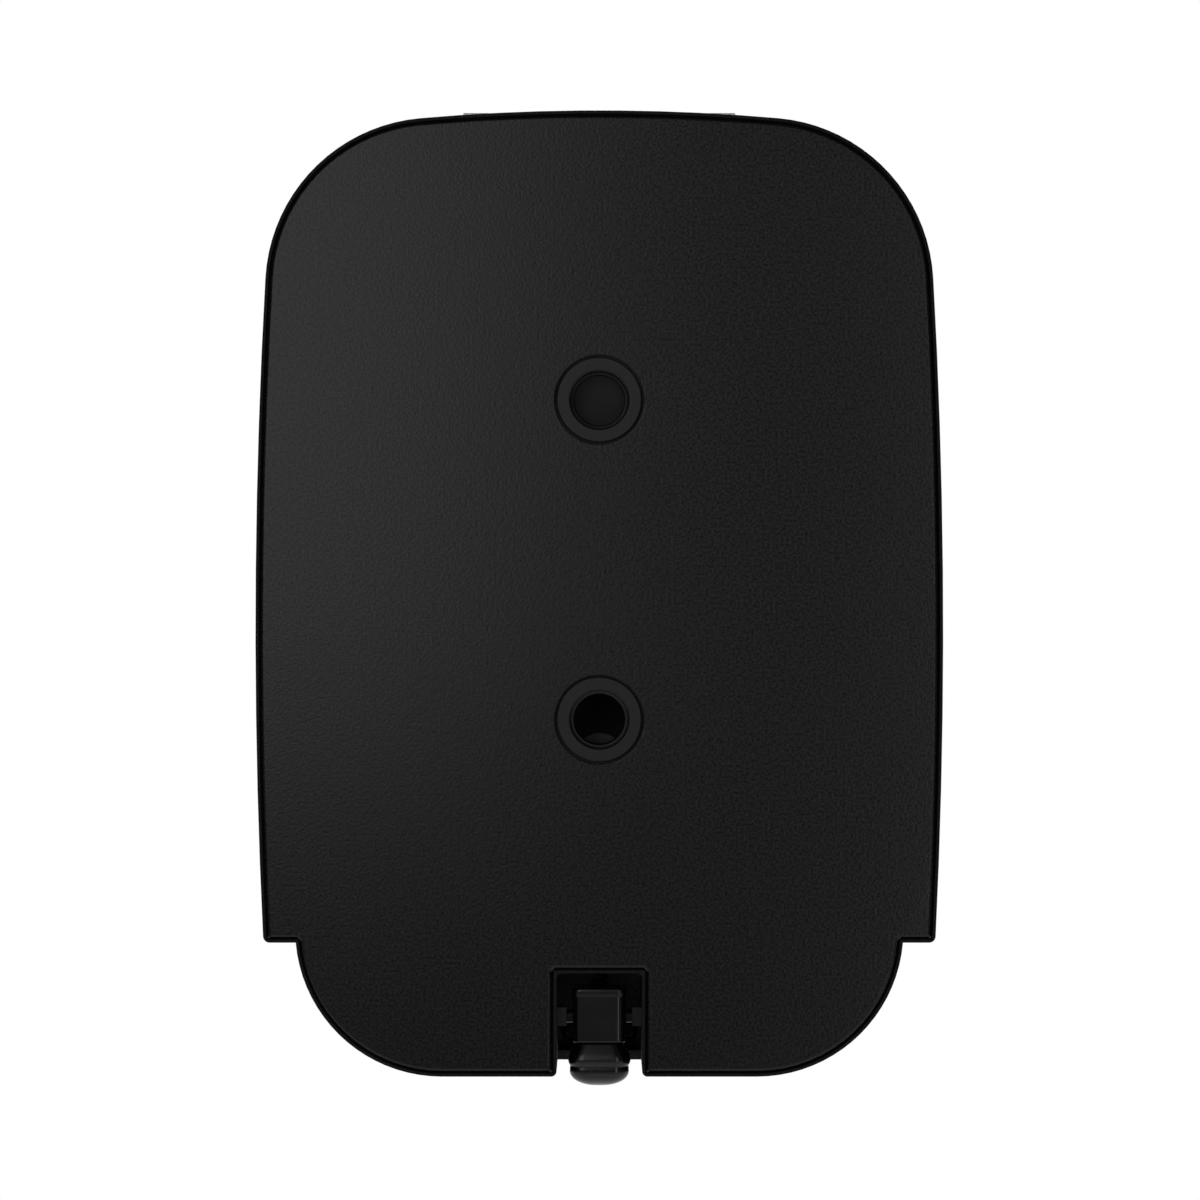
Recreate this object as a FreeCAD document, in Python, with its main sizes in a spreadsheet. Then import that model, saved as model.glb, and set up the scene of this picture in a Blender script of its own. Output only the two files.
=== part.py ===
# Pedestrian signal head: two round aspects, one above the other, in a shallow housing.
# Millimetres.  +Z is up, the lenses face -Y, and the rear cover's outer face lies in the plane
# y = 0, so a depth is measured from that face towards -Y.  The origin is the middle of the
# rear face, half-way between the two mounting bushings.
import FreeCAD, Part
import math
import os
import re

import Sketcher

doc = FreeCAD.newDocument("pedestrian_signal")

# ---------------------------------------------------------------- driving dimensions
SIZES = {
    # outline of the housing, seen square on
    "half_width": 103.2,        # at the widest height
    "widest_height": -21.0,
    "side_curve": 1872.0,       # radius of the gently bowed sides
    "top_height": 134.8,
    "top_curve": 618.0,         # radius of the gently bowed top
    "shoulder_curve": 51.0,     # radius of the two upper corners
    "ledge_height": -115.0,     # where the sides step in
    "ledge_round": 2.0,
    "lower_centre": 47.3,       # half the distance between the centres of the lower corners
    "lower_curve": 44.0,        # radius of the lower corners
    "base_height": -155.2,
    # latch recess in the bottom edge
    "recess_half": 12.85,
    "recess_top": -124.2,
    "recess_round": 1.6,
    # casing and rear cover
    "wall": 3.0,
    "casing_depth": 55.0,
    "cover_thickness": 3.0,
    "cover_bevel": 0.9,
    "rim_drop": 0.5,            # the casing's rear rim lies this far below the cover's face
    "rim_width": 0.9,
    "seam": 0.6,                # open joint between rim and cover
    # mounting bushings
    "boss_pitch": 96.0,
    "boss_radius": 12.75,
    "boss_groove": 0.65,        # open ring round each bushing
    "socket_radius": 8.6,
    "socket_depth": 9.0,
    "entry_radius": 7.7,
    "entry_step": 2.0,          # depth of the wider mouth of the cable entry
    "bush_length": 20.0,
    "flange_radius": 17.0,
    "flange_thickness": 3.0,
    "bore_bevel": 0.5,
    "grommet_lap": 3.0,         # the rubber edging's grip on the tube's end
    "grommet_edge": 1.6,
    "plug_head": 2.0,
    "plug_inset": 1.0,          # the plug's head is this much smaller than the bushing
    "plate_half_width": 24.0,
    "plate_margin": 26.0,       # beyond the middle of each bushing
    "plate_thickness": 3.0,
    "plate_round": 6.0,
    "nut_radius": 17.5,
    "nut_thickness": 5.0,
    "nut_flats": 8.0,           # width of the spanner slots
    # fastenings
    "screw_radius": 1.5,
    "head_radius": 2.8,
    "head_height": 2.2,
    "drive_radius": 1.3,
    "drive_depth": 1.2,
    "screw_play": 0.25,         # clearance of a screw in a plain hole
    "screw_end": 0.5,           # a screw stops this far short of its pilot hole's end
    "pilot_floor": 1.0,         # left under a pilot hole
    "post_radius": 4.0,
    "post_height": 4.0,
    "lug_thickness": 3.5,
    "lug_margin": 1.0,          # of a lug beyond its post
    "lug_root": 2.4,            # the upper lugs end this far below the top
    "lug_inset": 10.0,          # screw centre to the housing outline
    "side_screw_upper": 46.0,
    "side_screw_lower": -78.0,
    "end_screw_half": 38.0,
    # electronics
    "board_thickness": 1.6,
    "board_left": -86.0,
    "board_right": -30.0,
    "board_bottom": -66.0,
    "board_top": 74.0,
    "board_inset": 5.0,
    "standoff": 9.0,
    "inductor_side": 26.0,
    "inductor_height": 10.0,
    "inductor_rise": 32.0,      # its middle above the board's lower edge
    "core_share": 0.3,          # radius of the core's end, as a share of the inductor's side
    "core_height": 1.5,
    "capacitor_radius": 6.0,
    "capacitor_height": 9.5,
    "capacitor_spread": 1.4,    # from the board's middle to each capacitor, in its own radii
    "sink_width": 40.0,
    "sink_length": 30.0,
    "sink_height": 9.0,
    "sink_base": 2.0,
    "sink_drop": 20.0,          # below the board's upper edge
    "fin_width": 1.6,
    "fin_pitch": 4.8,
    "terminal_left": 40.0,
    "terminal_width": 20.0,
    "terminal_bottom": -54.0,
    "terminal_pitch": 11.0,
    "terminal_height": 14.0,
    "terminal_post": 4.0,
    "terminal_inset": 5.0,      # posts from the block's ends
    "way_floor": 3.0,
    "way_roof": 5.0,
    "way_half": 2.5,
    "way_length": 7.0,
    "well_depth": 4.0,          # the screw's well in the block's face
    "well_play": 0.4,
    "terminal_pilot": 9.0,
    "terminal_screw_end": 8.5,
    "stud_radius": 2.5,
    "stud_length": 14.0,
    "stud_across": 60.0,
    "stud_height": -98.0,
    "stud_foot": 2.0,
    "stud_foot_lip": 2.5,
    "stud_nut_rear": 5.0,
    "stud_nut_front": 9.0,
    "stud_nut_lip": 2.0,
    "vent_radius": 5.0,
    "vent_across": 31.0,
    "vent_depth": 28.0,
    "vent_lip": 1.5,
    "vent_recess": 0.4,
    "vent_head": 2.0,
    # door
    "door_gap": 1.5,            # casing rim to door rim
    "door_depth": 13.0,
    "door_plate": 3.0,
    "gasket_inset": 0.9,
    "gasket_thickness": 1.2,
    "bezel_width": 3.0,
    "bezel_height": 2.0,
    # hinge
    "hinge_rise": 1.9,          # hinge axis above the top of the housing
    "hinge_half": 30.0,         # from the middle of the door to the middle of each hinge
    "knuckle_radius": 2.7,
    "knuckle_length": 8.0,
    "knuckle_gap": 0.3,
    "knuckle_arm": 6.0,
    "knuckle_root": 0.5,        # the arm is rooted this far into the top wall
    "knuckle_foot": 1.0,
    "arm_low": 0.9,             # the arm's heights at the knuckle, in the knuckle's radii
    "arm_high": 0.98,
    "hinge_pin_radius": 1.25,
    "fit_gap": 0.05,
    "relief": 0.4,
    # hood
    "hood_wall": 2.5,
    "hood_flange": 12.0,
    "hood_base": 2.0,
    "hood_length": 84.0,        # at the top, ahead of the door
    "cheek_length": 26.0,       # at the ledge
    "hood_brow": 96.0,          # height at which the slanted edge starts
    "hood_screw_inset": 7.0,
    "hood_screw_end": 0.3,
    "hood_screw_upper": 50.0,
    "hood_screw_lower": -70.0,
    "baffle_height": -2.0,
    "baffle_thickness": 2.0,
    "baffle_length": 34.0,
    "baffle_gap": 0.4,
    # aspects
    "aspects_middle": -1.0,
    "aspect_gap": 0.5,          # between the collars of the two aspects
    "disc_radius": 57.0,
    "lens_lip": 5.0,            # the opening's edge covers this much of the lens
    "disc_gap": 0.25,
    "collar_wall": 2.0,
    "collar_length": 8.0,
    "lens_play": 0.5,
    "lens_seal": 1.0,
    "lens_flange": 3.0,
    "lens_dome": 3.5,
    "mask_thickness": 1.0,
    "diffuser_thickness": 2.0,
    "chamber_step": 1.5,        # the chamber is this much smaller than the discs
    "chamber_wall": 2.0,
    "chamber_length": 28.0,
    "chamber_rim": 2.0,
    "clamp_thickness": 3.0,
    "clamp_offset": 6.5,        # clamp screws, beyond the discs
    "lug_radius": 4.5,
    "clamp_play": 0.3,
    "led_radius": 2.5,
    "led_height": 3.0,
    "led_margin": 10.0,
    "led_board_play": 0.3,
    # latch
    "pivot_depth": 13.0,
    "pivot_drop": 13.8,         # below the roof of the recess
    "latch_pin_radius": 2.0,
    "bearing_length": 2.95,
    "bearing_half": 2.85,
    "lever_half": 8.3,
    "lever_rise": 9.1,          # heights of the lever are counted from the pivot
    "lever_fall": 7.6,
    "lever_rear": 4.0,
    "lever_front": 20.0,
    "lever_round": 2.0,
    "stem_half": 6.7,
    "stem_rear": 2.0,           # the stem is set back from the lever's rear face
    "stem_front": 3.0,          # and from its front face
    "stem_grip": 4.0,           # length of the stem inside the cap
    "cap_half": 9.0,
    "cap_drop": 11.3,
    "cap_height": 9.4,
    "cap_forward": 1.0,
    "cap_round": 0.42,          # radius of the cap's corners, as a share of its height
    "arm_half": 3.5,
    "arm_rise": 3.5,            # top of the arm above the pivot
    "arm_drop": 1.5,
    "tooth_gap": 0.9,
    "tooth_length": 2.6,
    "tooth_fall": 5.0,
    "keeper_gap": 0.4,
    "keeper_half": 7.0,
    "keeper_foot": 11.5,
    "keeper_sheet": 1.5,
    "keeper_setback": 1.7,
    "keeper_screw": 9.0,
    "keeper_screw_rise": 5.5,
    "keeper_pilot_floor": 0.8,
    "keeper_rise": 1.0,         # the foot reaches above the lip by this much
    "latch_pin_setback": 0.3,
    "spring_depth": 30.0,
    "spring_radius": 2.6,
    "spring_wire": 0.35,
    "spring_turns": 5.0,
    # a cut runs past the faces it opens by this much
    "overcut": 1.0,
}

sheet = doc.addObject("Spreadsheet::Sheet", "sizes")
for row, (alias, number) in enumerate(SIZES.items(), start=1):
    sheet.set(f"A{row}", alias)
    sheet.set(f"B{row}", str(number))
    sheet.setAlias(f"B{row}", alias)
doc.recompute()


def bound(text):
    """The expression with each word that names a size turned into a reference to its cell."""
    word = lambda match: "sizes." + match.group() if match.group() in SIZES else match.group()
    return re.sub(r"[a-z_]+", word, str(text))


def number(text):
    """What the expression comes to now."""
    return float(sheet.evalExpression(bound(text)))


# Places along the depth that several pieces share.
FLOOR = "cover_thickness"
LUG_REAR = "(cover_thickness + post_height)"
LUG_FRONT = f"({LUG_REAR} + lug_thickness)"
MOUNT_PLATE_REAR = "(cover_thickness + flange_thickness)"
MOUNT_PLATE_FRONT = f"({MOUNT_PLATE_REAR} + plate_thickness)"
BOARD_REAR = "(cover_thickness + standoff)"
BOARD_FRONT = f"({BOARD_REAR} + board_thickness)"
DOOR_REAR = "(casing_depth + door_gap)"
DOOR_FRONT = f"({DOOR_REAR} + door_depth)"
PLATE_REAR = f"({DOOR_FRONT} - door_plate)"
LENS_FRONT = f"({PLATE_REAR} - lens_seal)"
LENS_REAR = f"({LENS_FRONT} - lens_flange)"
MASK_REAR = f"({LENS_REAR} - mask_thickness)"
DIFFUSER_REAR = f"({MASK_REAR} - diffuser_thickness)"
CHAMBER_REAR = f"({DIFFUSER_REAR} - chamber_length)"
RIM_REAR = f"({DIFFUSER_REAR} - chamber_rim)"
CLAMP_REAR = f"({RIM_REAR} - clamp_thickness)"
LED_BOARD_REAR = f"({CHAMBER_REAR} + chamber_wall)"
LED_BOARD_FRONT = f"({LED_BOARD_REAR} + board_thickness)"
KEEPER_REAR = f"({DOOR_REAR} + keeper_setback)"
TOOTH_REAR = f"({KEEPER_REAR} + keeper_sheet + tooth_gap)"
TOOTH_FRONT = f"({TOOTH_REAR} + tooth_length)"

# Heights and radii that several pieces share.
HINGE_HEIGHT = "(top_height + hinge_rise)"
PLATE_HALF_HEIGHT = "(boss_pitch / 2 + plate_margin)"
COLLAR_RADIUS = "(disc_radius + disc_gap + collar_wall)"
ASPECTS = {"red": f"aspects_middle + {COLLAR_RADIUS} + aspect_gap / 2",
           "green": f"aspects_middle - {COLLAR_RADIUS} - aspect_gap / 2"}
LENS_OPENING = "(disc_radius - lens_lip)"
CHAMBER_RADIUS = "(disc_radius - chamber_step)"
CLAMP_REACH = "(disc_radius + clamp_offset)"
LED_RINGS = 3
LEDS_IN_FIRST_RING = 6
LED_RING_STEP = f"({CHAMBER_RADIUS} - chamber_wall - led_margin) / {LED_RINGS}"
PIVOT_HEIGHT = "(recess_top - pivot_drop)"
CAP_TOP = f"({PIVOT_HEIGHT} - cap_drop)"
CAP_BOTTOM = f"({CAP_TOP} - cap_height)"
TOOTH_BOTTOM = f"({PIVOT_HEIGHT} - tooth_fall)"

pieces = []


# ---------------------------------------------------------------- drawing helpers
def new_piece(label, height=None):
    """A body that becomes one node; its own origin may be raised to a height."""
    piece = doc.addObject("PartDesign::Body", label)
    piece.Label = label
    piece.AllowCompound = True
    if height:
        piece.setExpression("Placement.Base.z", bound(height))
    pieces.append(piece)
    return piece


def sketch_on(piece, role, offset):
    """A sketch on an origin plane of the body, moved along the plane's normal.

    XZ_Plane shows +X right and +Z up and its normal points to -Y, the way depths run.
    """
    plane = next(item for item in piece.Origin.OriginFeatures if item.Role == role)
    drawing = piece.newObject("Sketcher::SketchObject", piece.Label + "_sketch")
    drawing.AttachmentSupport = [(plane, "")]
    drawing.MapMode = "FlatFace"
    drawing.setExpression("AttachmentOffset.Base.z", bound(offset))
    return drawing


def constrain(drawing, kind, *places, size=None):
    """One constraint, its value bound to the sheet if it has one."""
    if size is None:
        return drawing.addConstraint(Sketcher.Constraint(kind, *places))
    index = drawing.addConstraint(Sketcher.Constraint(kind, *places, number(size)))
    drawing.setExpression(f"Constraints[{index}]", bound(size))
    return index


def pin(drawing, geometry, point, across=None, up=None):
    """Ties a point to its distances from the sketch's origin."""
    for kind, axis, size in (("DistanceX", -2, across), ("DistanceY", -1, up)):
        if size is None:
            continue
        if str(size) == "0":
            constrain(drawing, "PointOnObject", geometry, point, axis)
        else:
            constrain(drawing, kind, -1, 1, geometry, point, size=size)


def vector(across, up):
    return FreeCAD.Vector(number(across), number(up), 0)


def draw_polygon(drawing, corners):
    """Straight sides through the corners, each corner tied to its own two sizes."""
    first = drawing.GeometryCount
    count = len(corners)
    for index, corner in enumerate(corners):
        following = corners[(index + 1) % count]
        drawing.addGeometry(Part.LineSegment(vector(*corner), vector(*following)), False)
    for index, corner in enumerate(corners):
        constrain(drawing, "Coincident", first + index, 1, first + (index - 1) % count, 2)
        pin(drawing, first + index, 1, *corner)


def draw_box(drawing, left, right, bottom, top):
    draw_polygon(drawing, [(left, bottom), (right, bottom), (right, top), (left, top)])


def draw_circle(drawing, radius, across="0", up="0"):
    centre = vector(across, up)
    index = drawing.addGeometry(Part.Circle(centre, FreeCAD.Vector(0, 0, 1), number(radius)), False)
    pin(drawing, index, 3, across, up)
    constrain(drawing, "Radius", index, size=radius)


def arc(centre, radius, start, end):
    """An arc of a circle about a centre, from one angle to another, counter-clockwise."""
    circle = Part.Circle(centre, FreeCAD.Vector(0, 0, 1), radius)
    return Part.ArcOfCircle(circle, start, end)


def draw_capsule(drawing, start, end, radius):
    """A straight bar with two round ends."""
    first, last = vector(*start), vector(*end)
    reach = number(radius)
    heading = math.atan2(last.y - first.y, last.x - first.x)
    side = FreeCAD.Vector(-math.sin(heading), math.cos(heading), 0) * reach
    near = drawing.addGeometry(arc(first, reach, heading + math.pi / 2, heading + math.pi * 1.5), False)
    far = drawing.addGeometry(arc(last, reach, heading - math.pi / 2, heading + math.pi / 2), False)
    right = drawing.addGeometry(Part.LineSegment(first - side, last - side), False)
    left = drawing.addGeometry(Part.LineSegment(last + side, first + side), False)
    constrain(drawing, "Tangent", near, 2, right, 1)
    constrain(drawing, "Tangent", right, 2, far, 1)
    constrain(drawing, "Tangent", far, 2, left, 1)
    constrain(drawing, "Tangent", left, 2, near, 1)
    pin(drawing, near, 3, *start)
    pin(drawing, far, 3, *end)
    constrain(drawing, "Radius", near, size=radius)


def draw_outline(drawing, inset="0", lower=True, recess=True):
    """The housing's outline, moved inwards by the inset.

    A bowed top and bowed sides meet in round shoulders; the sides stop at a ledge, under which
    a narrower lower part ends in round corners.  With `lower` off, the outline closes at the
    ledge; with `recess` off, the latch recess in the bottom edge is left out.
    """
    edge = number(inset)
    top_radius = number("top_curve") - edge
    top_centre = vector("0", "top_height - top_curve")
    side_radius = number("side_curve") - edge
    side_centre = vector("half_width - side_curve", "widest_height")
    corner_radius = number("shoulder_curve") - edge
    # The shoulder's centre is as far from the other two centres as tangent circles must be.
    to_top = number("top_curve - shoulder_curve")
    to_side = number("side_curve - shoulder_curve")
    between = side_centre - top_centre
    along = (between.Length ** 2 + to_top ** 2 - to_side ** 2) / (2 * between.Length)
    across = math.sqrt(to_top ** 2 - along ** 2)
    direction = FreeCAD.Vector(between.x / between.Length, between.y / between.Length, 0)
    corner_centre = top_centre + direction * along
    corner_centre += FreeCAD.Vector(direction.y, -direction.x, 0) * across
    if corner_centre.x < 0:
        corner_centre -= FreeCAD.Vector(direction.y, -direction.x, 0) * 2 * across
    corner_top = math.atan2(corner_centre.y - top_centre.y, corner_centre.x - top_centre.x)
    corner_side = math.atan2(corner_centre.y - side_centre.y, corner_centre.x - side_centre.x)
    ledge = number("ledge_height") + edge
    side_end = math.asin((ledge - side_centre.y) / side_radius)

    def mirrored(point):
        return FreeCAD.Vector(-point.x, point.y, 0)

    top = drawing.addGeometry(arc(top_centre, top_radius, corner_top, math.pi - corner_top), False)
    right_corner = drawing.addGeometry(arc(corner_centre, corner_radius, corner_side, corner_top), False)
    left_corner = drawing.addGeometry(
        arc(mirrored(corner_centre), corner_radius, math.pi - corner_top, math.pi - corner_side), False)
    right_side = drawing.addGeometry(arc(side_centre, side_radius, side_end, corner_side), False)
    left_side = drawing.addGeometry(
        arc(mirrored(side_centre), side_radius, math.pi - corner_side, math.pi - side_end), False)
    constrain(drawing, "Tangent", right_side, 2, right_corner, 1)
    constrain(drawing, "Tangent", right_corner, 2, top, 1)
    constrain(drawing, "Tangent", top, 2, left_corner, 1)
    constrain(drawing, "Tangent", left_corner, 2, left_side, 1)
    pin(drawing, top, 3, "0", "top_height - top_curve")
    constrain(drawing, "Radius", top, size=f"top_curve - {inset}")
    for corner in (right_corner, left_corner):
        constrain(drawing, "Radius", corner, size=f"shoulder_curve - {inset}")
    pin(drawing, right_side, 3, "half_width - side_curve", "widest_height")
    pin(drawing, left_side, 3, "side_curve - half_width", "widest_height")
    for side in (right_side, left_side):
        constrain(drawing, "Radius", side, size=f"side_curve - {inset}")

    side_foot = FreeCAD.Vector(side_centre.x + side_radius * math.cos(side_end), ledge, 0)
    if not lower:
        base = drawing.addGeometry(Part.LineSegment(mirrored(side_foot), side_foot), False)
        constrain(drawing, "Coincident", base, 2, right_side, 1)
        constrain(drawing, "Coincident", base, 1, left_side, 2)
        pin(drawing, base, 2, up=f"ledge_height + {inset}")
        pin(drawing, base, 1, up=f"ledge_height + {inset}")
        return

    lower_radius = number("lower_curve") - edge
    lower_centre = vector("lower_centre", "base_height + lower_curve")
    lower_start = math.asin((ledge - lower_centre.y) / lower_radius)
    lower_top = FreeCAD.Vector(lower_centre.x + lower_radius * math.cos(lower_start), ledge, 0)
    lower_end = FreeCAD.Vector(lower_centre.x, number(f"base_height + {inset}"), 0)
    right_lower = drawing.addGeometry(
        arc(lower_centre, lower_radius, -math.pi / 2, lower_start), False)
    left_lower = drawing.addGeometry(
        arc(mirrored(lower_centre), lower_radius, math.pi - lower_start, math.pi * 1.5), False)
    right_ledge = drawing.addGeometry(Part.LineSegment(lower_top, side_foot), False)
    left_ledge = drawing.addGeometry(Part.LineSegment(mirrored(side_foot), mirrored(lower_top)), False)
    constrain(drawing, "Coincident", right_ledge, 2, right_side, 1)
    constrain(drawing, "Coincident", right_ledge, 1, right_lower, 2)
    constrain(drawing, "Coincident", left_ledge, 1, left_side, 2)
    constrain(drawing, "Coincident", left_ledge, 2, left_lower, 1)
    for line in (right_ledge, left_ledge):
        pin(drawing, line, 1, up=f"ledge_height + {inset}")
        pin(drawing, line, 2, up=f"ledge_height + {inset}")
    pin(drawing, right_lower, 3, "lower_centre", "base_height + lower_curve")
    pin(drawing, left_lower, 3, "-lower_centre", "base_height + lower_curve")
    for corner, end in ((right_lower, 1), (left_lower, 2)):
        constrain(drawing, "Radius", corner, size=f"lower_curve - {inset}")
        constrain(drawing, "Vertical", corner, 3, corner, end)

    if recess:
        half = f"recess_half + {inset}"
        top_of_recess = f"recess_top + {inset}"
        bottom = f"base_height + {inset}"
        inner = [(f"-({half})", bottom), (f"-({half})", top_of_recess), (half, top_of_recess), (half, bottom)]
    else:
        inner = []
    points = [mirrored(lower_end)] + [vector(*corner) for corner in inner] + [lower_end]
    lines = [drawing.addGeometry(Part.LineSegment(start, end), False)
             for start, end in zip(points, points[1:])]
    constrain(drawing, "Coincident", lines[0], 1, left_lower, 2)
    constrain(drawing, "Coincident", lines[-1], 2, right_lower, 1)
    for index, corner in enumerate(inner, start=1):
        constrain(drawing, "Coincident", lines[index - 1], 2, lines[index], 1)
        pin(drawing, lines[index], 1, *corner)


# ---------------------------------------------------------------- solid helpers
def grow(piece, drawing, length):
    """Pads the sketch along its plane's normal."""
    pad = piece.newObject("PartDesign::Pad", piece.Label + "_pad")
    pad.Profile = drawing
    pad.setExpression("Length", bound(length))
    doc.recompute()
    return pad


def carve(piece, drawing, length):
    """Pockets the sketch along its plane's normal, and makes sure that something was cut."""
    before = piece.Shape.Volume
    pocket = piece.newObject("PartDesign::Pocket", piece.Label + "_pocket")
    pocket.Profile = drawing
    pocket.Reversed = True
    pocket.setExpression("Length", bound(length))
    doc.recompute()
    if piece.Shape.Volume >= before:
        raise RuntimeError(pocket.Label + " cuts nothing")
    return pocket


def layer(piece, rear, front, draw, *details, plane="XZ_Plane", cut=False, **options):
    """One pad or pocket between two offsets, drawn by a draw function."""
    drawing = sketch_on(piece, plane, rear)
    draw(drawing, *details, **options)
    action = carve if cut else grow
    return action(piece, drawing, f"{front} - ({rear})")


def draw_circles(drawing, radius, places):
    for across, up in places:
        draw_circle(drawing, radius, across, up)


def disc(piece, rear, front, radius, across="0", up="0", cut=False):
    return layer(piece, rear, front, draw_circle, radius, across, up, cut=cut)


def discs(piece, rear, front, radius, places, cut=False):
    return layer(piece, rear, front, draw_circles, radius, places, cut=cut)


def box(piece, rear, front, left, right, bottom, top, cut=False):
    return layer(piece, rear, front, draw_box, left, right, bottom, top, cut=cut)


def edges_along_depth(piece, places):
    """Names of the straight edges that run along Y through the given places."""
    names = []
    for index, edge in enumerate(piece.Shape.Edges, start=1):
        ends = [vertex.Point for vertex in edge.Vertexes]
        if len(ends) != 2 or abs(ends[0].y - ends[1].y) < 1e-3:
            continue
        for across, up in places:
            target = (number(across), number(up))
            if all(math.hypot(end.x - target[0], end.z - target[1]) < 1e-3 for end in ends):
                names.append(f"Edge{index}")
    return names


def dress(piece, kind, names, quantity, size):
    """A fillet or chamfer of some edges of the body's present shape."""
    base = piece.Tip
    feature = piece.newObject("PartDesign::" + kind, piece.Label + "_" + kind.lower())
    feature.Base = (base, names)
    feature.setExpression(quantity, bound(size))
    doc.recompute()
    return feature


def round_corners(piece, places, radius):
    dress(piece, "Fillet", edges_along_depth(piece, places), "Radius", radius)


def screw_set(label, places, seat, tip, height=None):
    """Pan-head screws: heads stand on the seat, shanks run from there to the tip."""
    piece = new_piece(label, height)
    outward = number(seat) > number(tip)
    far = f"({seat} + head_height)" if outward else f"({seat} - head_height)"
    head = (seat, far) if outward else (far, seat)
    shank = (tip, seat) if outward else (seat, tip)
    mouth = (f"{far} - drive_depth", far) if outward else (far, f"{far} + drive_depth")
    discs(piece, *head, "head_radius", places)
    discs(piece, *shank, "screw_radius", places)
    discs(piece, *mouth, "drive_radius", places, cut=True)
    return piece


def both_sides(across, up):
    return [(across, up), (f"-({across})", up)]


# ---------------------------------------------------------------- rear cover
BOSSES = [("0", "boss_pitch / 2"), ("0", "-boss_pitch / 2")]
PLATE_SCREWS = both_sides("plate_half_width - plate_round", f"{PLATE_HALF_HEIGHT} - plate_round")
PLATE_SCREWS += both_sides("plate_half_width - plate_round", f"plate_round - {PLATE_HALF_HEIGHT}")
COVER_SCREWS = both_sides("half_width - lug_inset", "side_screw_upper")
COVER_SCREWS += both_sides("half_width - lug_inset", "side_screw_lower")
COVER_SCREWS += both_sides("end_screw_half", "top_height - lug_inset")
COVER_SCREWS += both_sides("end_screw_half", "base_height + lug_inset")
BOARD_SCREWS = [(across, up)
                for across in ("board_left + board_inset", "board_right - board_inset")
                for up in ("board_bottom + board_inset", "board_top - board_inset")]
TERMINAL_MIDDLE = "terminal_left + terminal_width / 2"
TERMINAL_COUNT = 8
TERMINAL_TOP = f"terminal_bottom + {TERMINAL_COUNT} * terminal_pitch"
TERMINAL_POSTS = [(TERMINAL_MIDDLE, "terminal_bottom + terminal_inset"),
                  (TERMINAL_MIDDLE, f"{TERMINAL_TOP} - terminal_inset")]

cover = new_piece("rear_cover")
COVER_INSET = "(rim_width + seam)"
layer(cover, "cover_bevel", FLOOR, draw_outline, COVER_INSET)
# The face's edge is bevelled all round: a loft from the outline to a smaller one in the face.
bevel_foot = sketch_on(cover, "XZ_Plane", "cover_bevel")
draw_outline(bevel_foot, COVER_INSET)
bevel_top = sketch_on(cover, "XZ_Plane", "0")
draw_outline(bevel_top, f"({COVER_INSET} + cover_bevel)")
bevel = cover.newObject("PartDesign::AdditiveLoft", "rear_cover_bevel")
bevel.Profile = bevel_foot
bevel.Sections = [bevel_top]
bevel.Ruled = True
doc.recompute()
discs(cover, "0", FLOOR, "boss_radius + boss_groove", BOSSES, cut=True)
discs(cover, FLOOR, LUG_REAR, "post_radius", COVER_SCREWS)
discs(cover, FLOOR, MOUNT_PLATE_REAR, "post_radius", PLATE_SCREWS)
discs(cover, FLOOR, BOARD_REAR, "post_radius", BOARD_SCREWS)
discs(cover, FLOOR, f"{FLOOR} + terminal_post", "post_radius", TERMINAL_POSTS)
PILOT = "screw_radius + fit_gap"
discs(cover, "cover_thickness / 2", LUG_REAR, PILOT, COVER_SCREWS, cut=True)
discs(cover, "cover_thickness / 2", MOUNT_PLATE_REAR, PILOT, PLATE_SCREWS, cut=True)
discs(cover, "cover_thickness / 2", BOARD_REAR, PILOT, BOARD_SCREWS, cut=True)

# ---------------------------------------------------------------- casing
HINGES = ["hinge_half", "-hinge_half"]
KNUCKLE_END = "(knuckle_length / 2 + knuckle_gap)"
LATCH_PIN_END = "(recess_half + wall - latch_pin_setback)"

casing = new_piece("casing")
layer(casing, "rim_drop", "casing_depth", draw_outline, "0")
layer(casing, "rim_drop", FLOOR, draw_outline, "rim_width", cut=True)
layer(casing, FLOOR, "casing_depth", draw_outline, "wall", cut=True)
round_corners(casing, both_sides("recess_half", "recess_top") + both_sides("recess_half", "base_height"),
              "recess_round")
LEDGE_OUTER = number("half_width - side_curve") + math.sqrt(
    number("side_curve") ** 2 - number("ledge_height - widest_height") ** 2)
ledge_places = [(LEDGE_OUTER, number("ledge_height")), (-LEDGE_OUTER, number("ledge_height"))]
round_corners(casing, ledge_places, "ledge_round")
# Lugs inside the wall take the cover's screws from the front.
for side in ("", "-"):
    inner, outer = "half_width - lug_inset - post_radius - lug_margin", "half_width - wall / 2"
    left, right = (inner, outer) if not side else (f"-({outer})", f"-({inner})")
    for up in ("side_screw_upper", "side_screw_lower"):
        box(casing, LUG_REAR, LUG_FRONT, left, right, f"{up} - post_radius - lug_margin",
            f"{up} + post_radius + lug_margin")
    left = f"{side}end_screw_half - post_radius - lug_margin"
    right = f"{side}end_screw_half + post_radius + lug_margin"
    box(casing, LUG_REAR, LUG_FRONT, left, right,
        "top_height - lug_inset - post_radius - lug_margin", "top_height - lug_root")
    box(casing, LUG_REAR, LUG_FRONT, left, right,
        "base_height + wall / 2", "base_height + lug_inset + post_radius + lug_margin")
discs(casing, LUG_REAR, LUG_FRONT, "screw_radius + screw_play", COVER_SCREWS, cut=True)
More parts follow.
